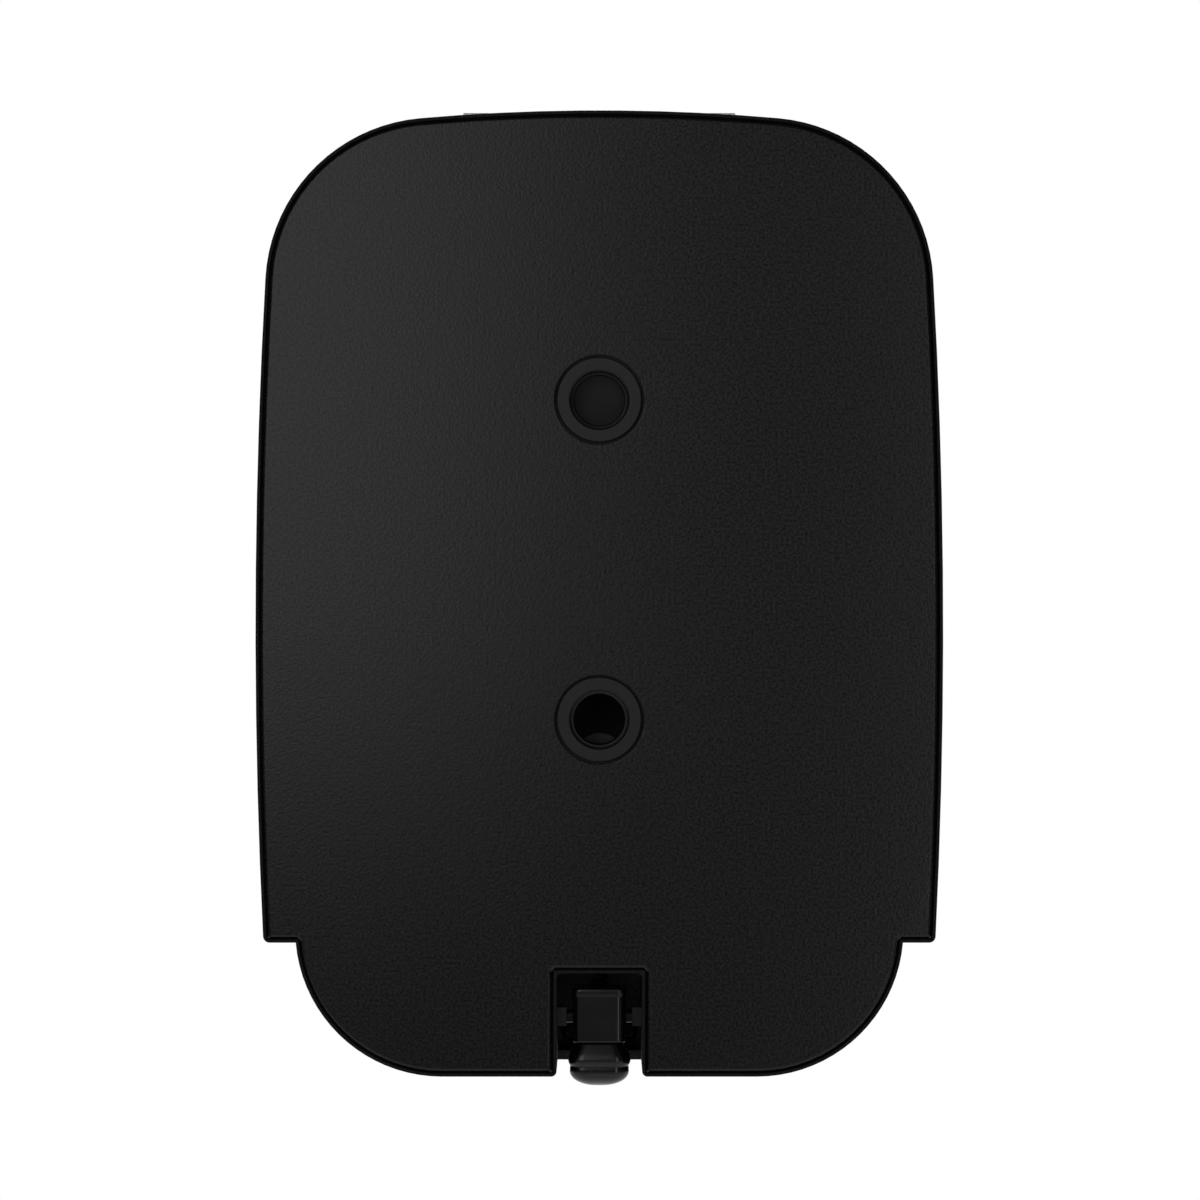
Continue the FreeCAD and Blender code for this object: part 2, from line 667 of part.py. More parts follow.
# Two knuckles at each hinge stand on the top edge, and the door's knuckle turns between them.
for middle in HINGES:
    for start, end in ((f"{middle} - {KNUCKLE_END} - knuckle_length", f"{middle} - {KNUCKLE_END}"),
                       (f"{middle} + {KNUCKLE_END}", f"{middle} + {KNUCKLE_END} + knuckle_length")):
        for radius, cut in (("knuckle_radius", False), ("hinge_pin_radius + fit_gap", True)):
            if cut:
                layer(casing, start, end, draw_circle, radius, f"-{DOOR_REAR}", HINGE_HEIGHT,
                      plane="YZ_Plane", cut=True)
            else:
                layer(casing, start, end, draw_polygon,
                      [("-casing_depth", "top_height - wall + knuckle_root"),
                       ("-casing_depth", f"{HINGE_HEIGHT} - knuckle_radius * arm_low"),
                       (f"-{DOOR_REAR}", f"{HINGE_HEIGHT} - knuckle_radius * arm_low"),
                       (f"-{DOOR_REAR}", f"{HINGE_HEIGHT} + knuckle_radius * arm_high"),
                       ("knuckle_arm - casing_depth", "top_height - knuckle_foot")], plane="YZ_Plane")
                layer(casing, start, end, draw_circle, radius, f"-{DOOR_REAR}", HINGE_HEIGHT,
                      plane="YZ_Plane")
    # the top edge is hollowed under the door's knuckle
    layer(casing, f"{middle} - {KNUCKLE_END}", f"{middle} + {KNUCKLE_END}", draw_circle,
          "knuckle_radius + relief", f"-{DOOR_REAR}", HINGE_HEIGHT, plane="YZ_Plane", cut=True)
# the latch pin's holes through the recess's side walls
layer(casing, f"-{LATCH_PIN_END}", LATCH_PIN_END, draw_circle, "latch_pin_radius + fit_gap",
      "-pivot_depth", PIVOT_HEIGHT, plane="YZ_Plane", cut=True)
# the vent's bore through the bottom wall
layer(casing, "base_height - overcut", "base_height + wall + overcut", draw_circle, "vent_radius - vent_lip",
      "vent_across", "-vent_depth", plane="XY_Plane", cut=True)

# ---------------------------------------------------------------- mounting bushings
mount_plate = new_piece("mount_plate")
plate_corners = [(f"{across}plate_half_width", f"{up}{PLATE_HALF_HEIGHT}")
                 for across in ("", "-") for up in ("", "-")]
box(mount_plate, MOUNT_PLATE_REAR, MOUNT_PLATE_FRONT, "-plate_half_width", "plate_half_width",
    f"-{PLATE_HALF_HEIGHT}", PLATE_HALF_HEIGHT)
round_corners(mount_plate, plate_corners, "plate_round")
discs(mount_plate, MOUNT_PLATE_REAR, MOUNT_PLATE_FRONT, "boss_radius + fit_gap", BOSSES, cut=True)
discs(mount_plate, MOUNT_PLATE_REAR, MOUNT_PLATE_FRONT, "screw_radius + screw_play", PLATE_SCREWS, cut=True)
screw_set("mount_plate_screws", PLATE_SCREWS, MOUNT_PLATE_FRONT, "cover_thickness / 2 + screw_end")
screw_set("cover_screws", COVER_SCREWS, LUG_FRONT, "cover_thickness / 2 + screw_end")

for name, height in (("upper", "boss_pitch / 2"), ("lower", "-boss_pitch / 2")):
    bushing = new_piece(name + "_bushing", height)
    disc(bushing, "rim_drop", "bush_length", "boss_radius")
    disc(bushing, FLOOR, MOUNT_PLATE_REAR, "flange_radius")
    if name == "upper":
        disc(bushing, "rim_drop", "socket_depth", "socket_radius", cut=True)
        disc(bushing, "socket_depth", "bush_length", "entry_radius", cut=True)
    else:
        disc(bushing, "rim_drop", "rim_drop + entry_step", "socket_radius", cut=True)
        disc(bushing, "rim_drop + entry_step", "bush_length", "entry_radius", cut=True)
    mouth = [f"Edge{index}" for index, edge in enumerate(bushing.Shape.Edges, start=1)
             if isinstance(edge.Curve, Part.Circle)
             and abs(edge.Curve.Radius - number("socket_radius")) < 1e-6
             and abs(edge.Curve.Center.y + number("rim_drop")) < 1e-6]
    dress(bushing, "Chamfer", mouth, "Size", "bore_bevel")

    nut = new_piece(name + "_ring_nut", height)
    NUT_FRONT = f"({MOUNT_PLATE_FRONT} + nut_thickness)"
    disc(nut, MOUNT_PLATE_FRONT, NUT_FRONT, "nut_radius")
    disc(nut, MOUNT_PLATE_FRONT, NUT_FRONT, "boss_radius + fit_gap", cut=True)
    box(nut, f"{NUT_FRONT} - nut_thickness / 2", NUT_FRONT,
        "-nut_radius - overcut", "nut_radius + overcut", "-nut_flats / 2", "nut_flats / 2", cut=True)

plug = new_piece("upper_socket_plug", "boss_pitch / 2")
disc(plug, "socket_depth", "bush_length", "entry_radius - fit_gap")
disc(plug, "bush_length", "bush_length + plug_head", "boss_radius - plug_inset")

grommet = new_piece("cable_entry_grommet", "-boss_pitch / 2")
disc(grommet, "bush_length - grommet_lap", "bush_length + grommet_edge", "boss_radius + grommet_edge")
disc(grommet, "bush_length - grommet_lap", "bush_length", "boss_radius + fit_gap", cut=True)
disc(grommet, "bush_length", "bush_length + grommet_edge", "entry_radius + grommet_edge / 2", cut=True)

# ---------------------------------------------------------------- driver board and terminals
board = new_piece("driver_board")
box(board, BOARD_REAR, BOARD_FRONT, "board_left", "board_right", "board_bottom", "board_top")
discs(board, BOARD_REAR, BOARD_FRONT, "screw_radius + screw_play", BOARD_SCREWS, cut=True)
screw_set("board_screws", BOARD_SCREWS, BOARD_FRONT, f"{FLOOR} + pilot_floor")

BOARD_MIDDLE = "(board_left + board_right) / 2"
inductor = new_piece("driver_inductor")
INDUCTOR_UP = "(board_bottom + inductor_rise)"
box(inductor, BOARD_FRONT, f"{BOARD_FRONT} + inductor_height",
    f"{BOARD_MIDDLE} - inductor_side / 2", f"{BOARD_MIDDLE} + inductor_side / 2",
    f"{INDUCTOR_UP} - inductor_side / 2", f"{INDUCTOR_UP} + inductor_side / 2")
disc(inductor, f"{BOARD_FRONT} + inductor_height", f"{BOARD_FRONT} + inductor_height + core_height",
     "inductor_side * core_share", BOARD_MIDDLE, INDUCTOR_UP)

for index, across in enumerate(("-1", "1"), start=1):
    capacitor = new_piece(f"driver_capacitor_{index}")
    disc(capacitor, BOARD_FRONT, f"{BOARD_FRONT} + capacitor_height", "capacitor_radius",
         f"{BOARD_MIDDLE} + {across} * capacitor_radius * capacitor_spread", "(board_bottom + board_top) / 2")

sink = new_piece("driver_heatsink")
SINK_LEFT = f"({BOARD_MIDDLE} - sink_width / 2)"
SINK_BOTTOM = "(board_top - sink_drop - sink_length)"
box(sink, BOARD_FRONT, f"{BOARD_FRONT} + sink_base", SINK_LEFT, f"{SINK_LEFT} + sink_width",
    SINK_BOTTOM, f"{SINK_BOTTOM} + sink_length")
for fin in range(int(number("(sink_width - fin_width) / fin_pitch")) + 1):
    fin_left = f"{SINK_LEFT} + {fin} * fin_pitch"
    box(sink, f"{BOARD_FRONT} + sink_base", f"{BOARD_FRONT} + sink_height", fin_left,
        f"{fin_left} + fin_width", SINK_BOTTOM, f"{SINK_BOTTOM} + sink_length")

TERMINAL_REAR = f"({FLOOR} + terminal_post)"
TERMINAL_FRONT = f"({TERMINAL_REAR} + terminal_height)"
TERMINAL_WAYS = [f"terminal_bottom + {way + 0.5} * terminal_pitch" for way in range(TERMINAL_COUNT)]
terminal = new_piece("terminal_block")
box(terminal, TERMINAL_REAR, TERMINAL_FRONT, "terminal_left", "terminal_left + terminal_width",
    "terminal_bottom", TERMINAL_TOP)
for way in TERMINAL_WAYS:
    box(terminal, f"{TERMINAL_REAR} + way_floor", f"{TERMINAL_FRONT} - way_roof", "terminal_left - overcut",
        "terminal_left + way_length", f"{way} - way_half", f"{way} + way_half", cut=True)
TERMINAL_SCREWS = [(TERMINAL_MIDDLE, way) for way in TERMINAL_WAYS]
WELL_FLOOR = f"{TERMINAL_FRONT} - well_depth"
discs(terminal, WELL_FLOOR, TERMINAL_FRONT, "head_radius + well_play", TERMINAL_SCREWS, cut=True)
discs(terminal, f"{TERMINAL_FRONT} - terminal_pilot", WELL_FLOOR, PILOT, TERMINAL_SCREWS, cut=True)
screw_set("terminal_screws", TERMINAL_SCREWS, WELL_FLOOR, f"{TERMINAL_FRONT} - terminal_screw_end")

stud = new_piece("earth_stud")
disc(stud, FLOOR, f"{FLOOR} + stud_length", "stud_radius", "stud_across", "stud_height")
disc(stud, FLOOR, f"{FLOOR} + stud_foot", "stud_radius + stud_foot_lip", "stud_across", "stud_height")
disc(stud, f"{FLOOR} + stud_nut_rear", f"{FLOOR} + stud_nut_front", "stud_radius + stud_nut_lip",
     "stud_across", "stud_height")

vent = new_piece("vent_plug")
layer(vent, "base_height + vent_recess", "base_height + wall", draw_circle,
      "vent_radius - vent_lip - fit_gap", "vent_across", "-vent_depth", plane="XY_Plane")
layer(vent, "base_height + wall", "base_height + wall + vent_head", draw_circle, "vent_radius",
      "vent_across", "-vent_depth", plane="XY_Plane")

# ---------------------------------------------------------------- door
DIAGONAL = f"{CLAMP_REACH} * sqrt(0.5)"
CLAMP_SCREWS = both_sides(DIAGONAL, DIAGONAL) + both_sides(DIAGONAL, f"-{DIAGONAL}")
HOOD_SCREWS = both_sides("half_width - hood_screw_inset", "hood_screw_upper")
HOOD_SCREWS += both_sides("half_width - hood_screw_inset", "hood_screw_lower")
KEEPER_SCREWS = both_sides("keeper_screw", "base_height + wall + keeper_screw_rise")

door = new_piece("door_frame")
layer(door, DOOR_REAR, DOOR_FRONT, draw_outline, "0", recess=False)
layer(door, DOOR_REAR, PLATE_REAR, draw_outline, "wall", cut=True)
round_corners(door, ledge_places, "ledge_round")
box(door, DOOR_REAR, PLATE_REAR, "-recess_half", "recess_half", "base_height + wall", "recess_top", cut=True)
centres = [("0", height) for height in ASPECTS.values()]
clamp_places = [(across, f"{height} + {up}") for height in ASPECTS.values() for across, up in CLAMP_SCREWS]
discs(door, f"{PLATE_REAR} - collar_length", PLATE_REAR, COLLAR_RADIUS, centres)
discs(door, RIM_REAR, PLATE_REAR, "lug_radius", clamp_places)
discs(door, f"{PLATE_REAR} - collar_length", PLATE_REAR, "disc_radius + disc_gap", centres, cut=True)
discs(door, DOOR_FRONT, f"{DOOR_FRONT} + bezel_height", f"{LENS_OPENING} + bezel_width", centres)
discs(door, PLATE_REAR, f"{DOOR_FRONT} + bezel_height", LENS_OPENING, centres, cut=True)
discs(door, RIM_REAR, f"{DOOR_FRONT} - pilot_floor", PILOT, clamp_places, cut=True)
discs(door, PLATE_REAR, DOOR_FRONT, PILOT, HOOD_SCREWS, cut=True)
discs(door, PLATE_REAR, f"{DOOR_FRONT} - keeper_pilot_floor", PILOT, KEEPER_SCREWS, cut=True)
for middle in HINGES:
    start, end = f"{middle} - knuckle_length / 2", f"{middle} + knuckle_length / 2"
    # the top edge is hollowed under the casing's knuckles
    for side in (f"{middle} - {KNUCKLE_END} - knuckle_length - knuckle_gap",
                 f"{middle} + {KNUCKLE_END} - knuckle_gap"):
        layer(door, side, f"{side} + knuckle_length + 2 * knuckle_gap", draw_circle,
              "knuckle_radius + relief", f"-{DOOR_REAR}", HINGE_HEIGHT, plane="YZ_Plane", cut=True)
    layer(door, start, end, draw_polygon,
          [(f"-{DOOR_REAR}", "top_height - wall + knuckle_root"),
           (f"-{DOOR_REAR} - knuckle_arm", "top_height - knuckle_foot"),
           (f"-{DOOR_REAR}", f"{HINGE_HEIGHT} + knuckle_radius * arm_high")], plane="YZ_Plane")
    layer(door, start, end, draw_circle, "knuckle_radius", f"-{DOOR_REAR}", HINGE_HEIGHT, plane="YZ_Plane")
    layer(door, start, end, draw_circle, "hinge_pin_radius + fit_gap", f"-{DOOR_REAR}",
          HINGE_HEIGHT, plane="YZ_Plane", cut=True)

for name, middle in (("right", "hinge_half"), ("left", "-hinge_half")):
    hinge_pin = new_piece("hinge_pin_" + name)
    layer(hinge_pin, f"{middle} - {KNUCKLE_END} - knuckle_length",
          f"{middle} + {KNUCKLE_END} + knuckle_length", draw_circle, "hinge_pin_radius",
          f"-{DOOR_REAR}", HINGE_HEIGHT, plane="YZ_Plane")

gasket = new_piece("door_gasket")
GASKET_REAR = f"({DOOR_REAR} - gasket_thickness)"
layer(gasket, GASKET_REAR, DOOR_REAR, draw_outline, "gasket_inset")
layer(gasket, GASKET_REAR, DOOR_REAR, draw_outline, "(wall - gasket_inset)", cut=True)

# ---------------------------------------------------------------- hood
hood = new_piece("hood")
HOOD_FLOOR = f"({DOOR_FRONT} + hood_base)"
HOOD_FRONT = f"({DOOR_FRONT} + hood_length)"
layer(hood, DOOR_FRONT, HOOD_FRONT, draw_outline, "0", lower=False)
layer(hood, HOOD_FLOOR, HOOD_FRONT, draw_outline, "hood_wall", cut=True, recess=False)
layer(hood, DOOR_FRONT, HOOD_FLOOR, draw_outline, "hood_flange", cut=True, lower=False)
FOOT_INNER = "lower_centre + lower_curve - hood_flange / 2"
box(hood, DOOR_FRONT, HOOD_FLOOR, f"-({FOOT_INNER})", FOOT_INNER,
    "ledge_height - overcut", "ledge_height + hood_flange + overcut", cut=True)
discs(hood, DOOR_FRONT, HOOD_FLOOR, "screw_radius + screw_play", HOOD_SCREWS, cut=True)
# The front edge slants back from the brow to the foot of the cheeks.
layer(hood, "-half_width - overcut", "half_width + overcut", draw_polygon,
      [(f"-{HOOD_FRONT} - overcut", "hood_brow"), (f"-{HOOD_FRONT}", "hood_brow"),
       (f"-{DOOR_FRONT} - cheek_length", "ledge_height"),
       (f"-{DOOR_FRONT} - cheek_length", "ledge_height - overcut"),
       (f"-{HOOD_FRONT} - overcut", "ledge_height - overcut")], plane="YZ_Plane", cut=True)
screw_set("hood_screws", HOOD_SCREWS, HOOD_FLOOR, f"{PLATE_REAR} + hood_screw_end")

baffle = new_piece("hood_baffle")
BAFFLE_HALF = "half_width - hood_wall - baffle_gap"
box(baffle, HOOD_FLOOR, f"{HOOD_FLOOR} + baffle_length", f"-({BAFFLE_HALF})", BAFFLE_HALF,
    "baffle_height - baffle_thickness / 2", "baffle_height + baffle_thickness / 2")

# ---------------------------------------------------------------- aspects
# Each figure is a list of limbs on a field of radius 1: both ends of the limb and half its width.
STANDING = [((0, 0.36), (0, -0.02), 0.15), ((-0.075, -0.05), (-0.075, -0.72), 0.068),
            ((0.075, -0.05), (0.075, -0.72), 0.068), ((-0.215, 0.40), (-0.235, -0.12), 0.05),
            ((0.215, 0.40), (0.235, -0.12), 0.05)]
WALKING = [((0.02, 0.34), (-0.02, 0.02), 0.135), ((-0.02, 0.0), (0.20, -0.34), 0.07),
           ((0.20, -0.34), (0.24, -0.72), 0.06), ((-0.02, 0.0), (-0.12, -0.38), 0.07),
           ((-0.12, -0.38), (-0.34, -0.68), 0.06), ((0.02, 0.40), (0.24, 0.12), 0.048),
           ((0.24, 0.12), (0.36, 0.10), 0.042), ((0.0, 0.40), (-0.22, 0.16), 0.048),
           ((-0.22, 0.16), (-0.24, -0.08), 0.042)]
HEAD = ((0, 0.66), 0.125)
FIGURES = {"red": STANDING, "green": WALKING}
FIELD = LENS_OPENING

for name, height in ASPECTS.items():
    seal = new_piece(name + "_lens_seal", height)
    disc(seal, LENS_FRONT, PLATE_REAR, "disc_radius")
    disc(seal, LENS_FRONT, PLATE_REAR, LENS_OPENING, cut=True)

    lens = new_piece(name + "_lens", height)
    profile = sketch_on(lens, "YZ_Plane", "0")
    rear, shoulder, edge = number(LENS_REAR), number(LENS_FRONT), number(DOOR_FRONT)
    crown = edge + number("lens_dome")
    disc_edge, clear_edge = number("disc_radius"), number(f"{LENS_OPENING} - lens_play")
    dome_radius = (clear_edge ** 2 + (crown - edge) ** 2) / (2 * (crown - edge))
    swing = math.asin(clear_edge / dome_radius)
    stations = [(-rear, 0), (-rear, disc_edge), (-shoulder, disc_edge), (-shoulder, clear_edge),
                (-edge, clear_edge)]
    for start, end in zip(stations, stations[1:]):
        profile.addGeometry(Part.LineSegment(FreeCAD.Vector(*start, 0), FreeCAD.Vector(*end, 0)), False)
    dome = profile.addGeometry(arc(FreeCAD.Vector(dome_radius - crown, 0, 0), dome_radius,
                                   math.pi - swing, math.pi), False)
    base = profile.addGeometry(
        Part.LineSegment(FreeCAD.Vector(-crown, 0, 0), FreeCAD.Vector(-rear, 0, 0)), False)
    CLEAR_EDGE = f"{LENS_OPENING} - lens_play"
    corners = [(f"-{LENS_REAR}", "0"), (f"-{LENS_REAR}", "disc_radius"),
               (f"-{LENS_FRONT}", "disc_radius"), (f"-{LENS_FRONT}", CLEAR_EDGE),
               (f"-{DOOR_FRONT}", CLEAR_EDGE)]
    for index, corner in enumerate(corners[:-1]):
        pin(profile, index, 1, *corner)
    pin(profile, 3, 2, *corners[-1])
    for index in range(3):
        constrain(profile, "Coincident", index, 2, index + 1, 1)
    constrain(profile, "Coincident", 3, 2, dome, 1)
    constrain(profile, "Coincident", dome, 2, base, 1)
    constrain(profile, "Coincident", base, 2, 0, 1)
    pin(profile, base, 1, f"-{DOOR_FRONT} - lens_dome", "0")
    constrain(profile, "PointOnObject", dome, 3, -1)
    turned = lens.newObject("PartDesign::Revolution", name + "_lens_turned")
    turned.Profile = profile
    turned.ReferenceAxis = (profile, ["H_Axis"])
    turned.Angle = 360
    doc.recompute()

    mask = new_piece(name + "_mask", height)
    disc(mask, MASK_REAR, LENS_REAR, "disc_radius")
    disc(mask, MASK_REAR, LENS_REAR, f"{FIELD} * {HEAD[1]}", "0", f"{FIELD} * {HEAD[0][1]}", cut=True)
    for start, end, half in FIGURES[name]:
        ends = [tuple(f"{FIELD} * {share}" if share else "0" for share in place) for place in (start, end)]
        layer(mask, MASK_REAR, LENS_REAR, draw_capsule, *ends, f"{FIELD} * {half}", cut=True)

    diffuser = new_piece(name + "_diffuser", height)
    disc(diffuser, DIFFUSER_REAR, MASK_REAR, "disc_radius")

    chamber = new_piece(name + "_chamber", height)
    disc(chamber, CHAMBER_REAR, DIFFUSER_REAR, CHAMBER_RADIUS)
    disc(chamber, RIM_REAR, DIFFUSER_REAR, "disc_radius")
    disc(chamber, LED_BOARD_REAR, DIFFUSER_REAR, f"{CHAMBER_RADIUS} - chamber_wall", cut=True)
    disc(chamber, CHAMBER_REAR, LED_BOARD_REAR, "entry_radius", cut=True)

    led_board = new_piece(name + "_led_board", height)
    disc(led_board, LED_BOARD_REAR, LED_BOARD_FRONT, f"{CHAMBER_RADIUS} - chamber_wall - led_board_play")

    leds = new_piece(name + "_leds", height)
    places = [("0", "0")]
    for ring in range(1, LED_RINGS + 1):
        leds_in_ring = LEDS_IN_FIRST_RING * ring
        for step in range(leds_in_ring):
            turn = math.tau * step / leds_in_ring
            places.append((f"{LED_RING_STEP} * {ring * math.cos(turn):.6f}",
                           f"{LED_RING_STEP} * {ring * math.sin(turn):.6f}"))
    places = [tuple("0" if item.endswith((" 0.000000", " -0.000000")) else item for item in place)
              for place in places]
    discs(leds, LED_BOARD_FRONT, f"{LED_BOARD_FRONT} + led_height", "led_radius", places)

    clamp = new_piece(name + "_clamp", height)
    disc(clamp, CLAMP_REAR, RIM_REAR, COLLAR_RADIUS)
    discs(clamp, CLAMP_REAR, RIM_REAR, "lug_radius", CLAMP_SCREWS)
    disc(clamp, CLAMP_REAR, RIM_REAR, f"{CHAMBER_RADIUS} + clamp_play", cut=True)
    discs(clamp, CLAMP_REAR, RIM_REAR, "screw_radius + screw_play", CLAMP_SCREWS, cut=True)
    screw_set(name + "_clamp_screws", CLAMP_SCREWS, CLAMP_REAR, f"{PLATE_REAR} + pilot_floor", height)

# ---------------------------------------------------------------- latch
lever = new_piece("latch_lever")
LEVER_DEPTHS = ("lever_rear", "lever_front")
LEVER_TOP = f"({PIVOT_HEIGHT} + lever_rise)"
LEVER_FOOT = f"({PIVOT_HEIGHT} - lever_fall)"
box(lever, *LEVER_DEPTHS, "-lever_half", "lever_half", LEVER_FOOT, LEVER_TOP)
round_corners(lever, both_sides("lever_half", LEVER_TOP), "lever_round")
STEM_REAR = "lever_rear + stem_rear"
STEM_FRONT = "lever_front - stem_front"
STEM_FOOT = f"{CAP_TOP} - stem_grip"
box(lever, STEM_REAR, STEM_FRONT, "-stem_half", "stem_half", STEM_FOOT, LEVER_FOOT)
box(lever, "lever_front", TOOTH_FRONT, "-arm_half", "arm_half",
    f"{PIVOT_HEIGHT} - arm_drop", f"{PIVOT_HEIGHT} + arm_rise")
box(lever, TOOTH_REAR, TOOTH_FRONT, "-arm_half", "arm_half", TOOTH_BOTTOM, f"{PIVOT_HEIGHT} - arm_drop")
layer(lever, "-lever_half", "lever_half", draw_circle, "latch_pin_radius + fit_gap", "-pivot_depth",
      PIVOT_HEIGHT, plane="YZ_Plane", cut=True)

cap = new_piece("thumb_cap")
CAP_MIDDLE = f"({CAP_TOP} + {CAP_BOTTOM}) / 2"
box(cap, "lever_rear - cap_forward", "lever_front - cap_forward",
    "-cap_half", "cap_half", CAP_BOTTOM, CAP_TOP)
round_corners(cap, [(f"{across}cap_half", up) for across in ("", "-") for up in (CAP_TOP, CAP_BOTTOM)],
              f"({CAP_TOP} - {CAP_BOTTOM}) * cap_round")
box(cap, f"{STEM_REAR} - fit_gap", f"{STEM_FRONT} + fit_gap", "-stem_half - fit_gap",
    "stem_half + fit_gap", f"{STEM_FOOT} - fit_gap", f"{CAP_TOP} + overcut", cut=True)

latch_pin = new_piece("latch_pin")
layer(latch_pin, f"-{LATCH_PIN_END}", LATCH_PIN_END, draw_circle, "latch_pin_radius",
      "-pivot_depth", PIVOT_HEIGHT, plane="YZ_Plane")

for name, near, far in (("right", "recess_half - bearing_length", "recess_half"),
                        ("left", "-recess_half", "bearing_length - recess_half")):
    bearing = new_piece("latch_bearing_" + name)
    box(bearing, "pivot_depth - bearing_half", "pivot_depth + bearing_half", near, far,
        f"{PIVOT_HEIGHT} - bearing_half", f"{PIVOT_HEIGHT} + bearing_half")
    layer(bearing, near, far, draw_circle, "latch_pin_radius + fit_gap", "-pivot_depth",
          PIVOT_HEIGHT, plane="YZ_Plane", cut=True)

keeper = new_piece("latch_keeper")
KEEPER_BOTTOM = "(base_height + wall)"
KEEPER_TOP = f"({TOOTH_BOTTOM} - keeper_gap)"
layer(keeper, "-keeper_half", "keeper_half", draw_polygon,
      [(f"-{PLATE_REAR}", KEEPER_BOTTOM), (f"-{KEEPER_REAR}", KEEPER_BOTTOM), (f"-{KEEPER_REAR}", KEEPER_TOP),
       (f"-{KEEPER_REAR} - keeper_sheet", KEEPER_TOP),
       (f"-{KEEPER_REAR} - keeper_sheet", f"{KEEPER_BOTTOM} + keeper_sheet"),
       (f"-{PLATE_REAR}", f"{KEEPER_BOTTOM} + keeper_sheet")], plane="YZ_Plane")
box(keeper, f"{PLATE_REAR} - keeper_sheet", PLATE_REAR, "-keeper_foot", "keeper_foot",
    KEEPER_BOTTOM, f"{KEEPER_TOP} + keeper_rise")
discs(keeper, f"{PLATE_REAR} - keeper_sheet", PLATE_REAR, "screw_radius + screw_play",
      KEEPER_SCREWS, cut=True)
screw_set("keeper_screws", KEEPER_SCREWS, f"{PLATE_REAR} - keeper_sheet", f"{DOOR_FRONT} - pilot_floor")

# The return spring is a coil between the arm and the roof of the recess.
spring = doc.addObject("Part::Feature", "latch_spring")
spring.Label = "latch_spring"
spring_foot = number(f"{PIVOT_HEIGHT} + arm_rise")
spring_rise = number("recess_top") - spring_foot
wire = number("spring_wire")
coil_rise = spring_rise - 2 * wire
coil = Part.makeHelix(coil_rise / number("spring_turns"), coil_rise, number("spring_radius"))
coil_start = FreeCAD.Vector(number("spring_radius"), 0, 0)
section = Part.Wire(Part.makeCircle(wire, coil_start, FreeCAD.Vector(0, 1, 0)))
spring.Shape = Part.Wire(coil.Edges).makePipeShell([section], True, True)
spring.Placement = FreeCAD.Placement(
    FreeCAD.Vector(0, -number("spring_depth"), spring_foot + wire), FreeCAD.Rotation())
pieces.append(spring)

# ---------------------------------------------------------------- checks and export
doc.recompute()
for item in doc.Objects:
    if "Invalid" in item.State or "Error" in item.State:
        raise RuntimeError(item.Label + ": " + ", ".join(item.State))
os.makedirs("parts", exist_ok=True)
for piece in pieces:
    if piece.Shape.isNull() or not piece.Shape.isValid() or not piece.Shape.Solids:
        raise RuntimeError(piece.Label + " has no valid solid")
    print(piece.Label, len(piece.Shape.Solids), round(piece.Shape.Volume, 1))
    piece.Shape.exportStep(os.path.join("parts", piece.Label + ".step"))
print(len(pieces), "pieces")
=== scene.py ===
import math

import bmesh
import bpy
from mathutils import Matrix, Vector


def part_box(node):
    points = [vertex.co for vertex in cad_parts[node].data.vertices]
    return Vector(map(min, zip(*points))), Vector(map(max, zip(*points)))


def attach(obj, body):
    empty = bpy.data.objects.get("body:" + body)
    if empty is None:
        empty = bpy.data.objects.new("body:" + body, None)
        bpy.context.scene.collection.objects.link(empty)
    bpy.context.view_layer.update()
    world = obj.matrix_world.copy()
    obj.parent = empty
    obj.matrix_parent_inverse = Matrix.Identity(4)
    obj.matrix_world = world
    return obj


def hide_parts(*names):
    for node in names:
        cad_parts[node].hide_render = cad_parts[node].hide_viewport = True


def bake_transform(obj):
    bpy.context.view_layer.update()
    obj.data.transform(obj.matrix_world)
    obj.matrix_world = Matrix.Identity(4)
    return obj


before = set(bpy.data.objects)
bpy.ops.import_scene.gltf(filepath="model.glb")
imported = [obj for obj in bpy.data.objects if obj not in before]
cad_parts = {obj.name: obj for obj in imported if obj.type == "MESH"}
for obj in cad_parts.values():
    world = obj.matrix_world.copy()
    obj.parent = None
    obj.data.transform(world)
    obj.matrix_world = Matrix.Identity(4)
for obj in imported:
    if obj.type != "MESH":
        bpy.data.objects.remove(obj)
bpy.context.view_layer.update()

# ---------------------------------------------------------------- camera
# A long lens looks square at the back of the signal, level with a point just under the
# middle of the rear face, and takes in 360 mm there.
camera_distance = 1.5
field_at_rear_face = 0.36
camera_across, camera_up = -0.0002, -0.01215
camera_data = bpy.data.cameras.new("camera")
camera_data.sensor_width = 36
camera_data.lens = camera_data.sensor_width * camera_distance / field_at_rear_face
camera = bpy.data.objects.new("camera", camera_data)
bpy.context.scene.collection.objects.link(camera)
camera.location = (camera_across, camera_distance, camera_up)
camera.rotation_euler = (math.radians(90), 0, math.radians(180))
bpy.context.scene.camera = camera

# ---------------------------------------------------------------- studio
# The signal hangs clear of a wide pale floor. Two soft boxes light its back, one broad and one
# narrow, two light its front, and one lights the floor. A dim surround fills the shadows.
surround_strength = 0.065
bpy.context.scene.view_settings.view_transform = "Standard"
surround = bpy.data.worlds.new("surround")
bpy.context.scene.world = surround
surround.use_nodes = True
sky_tree = surround.node_tree
sky = sky_tree.nodes["Background"]
sky.inputs["Color"].default_value = (1, 1, 1, 1)
sky.inputs["Strength"].default_value = surround_strength
seen_sky = sky_tree.nodes.new("ShaderNodeBackground")
seen_sky.inputs["Color"].default_value = (1, 1, 1, 1)
rays = sky_tree.nodes.new("ShaderNodeLightPath")
choose = sky_tree.nodes.new("ShaderNodeMixShader")
sky_tree.links.new(rays.outputs["Is Camera Ray"], choose.inputs["Fac"])
sky_tree.links.new(sky.outputs["Background"], choose.inputs[1])
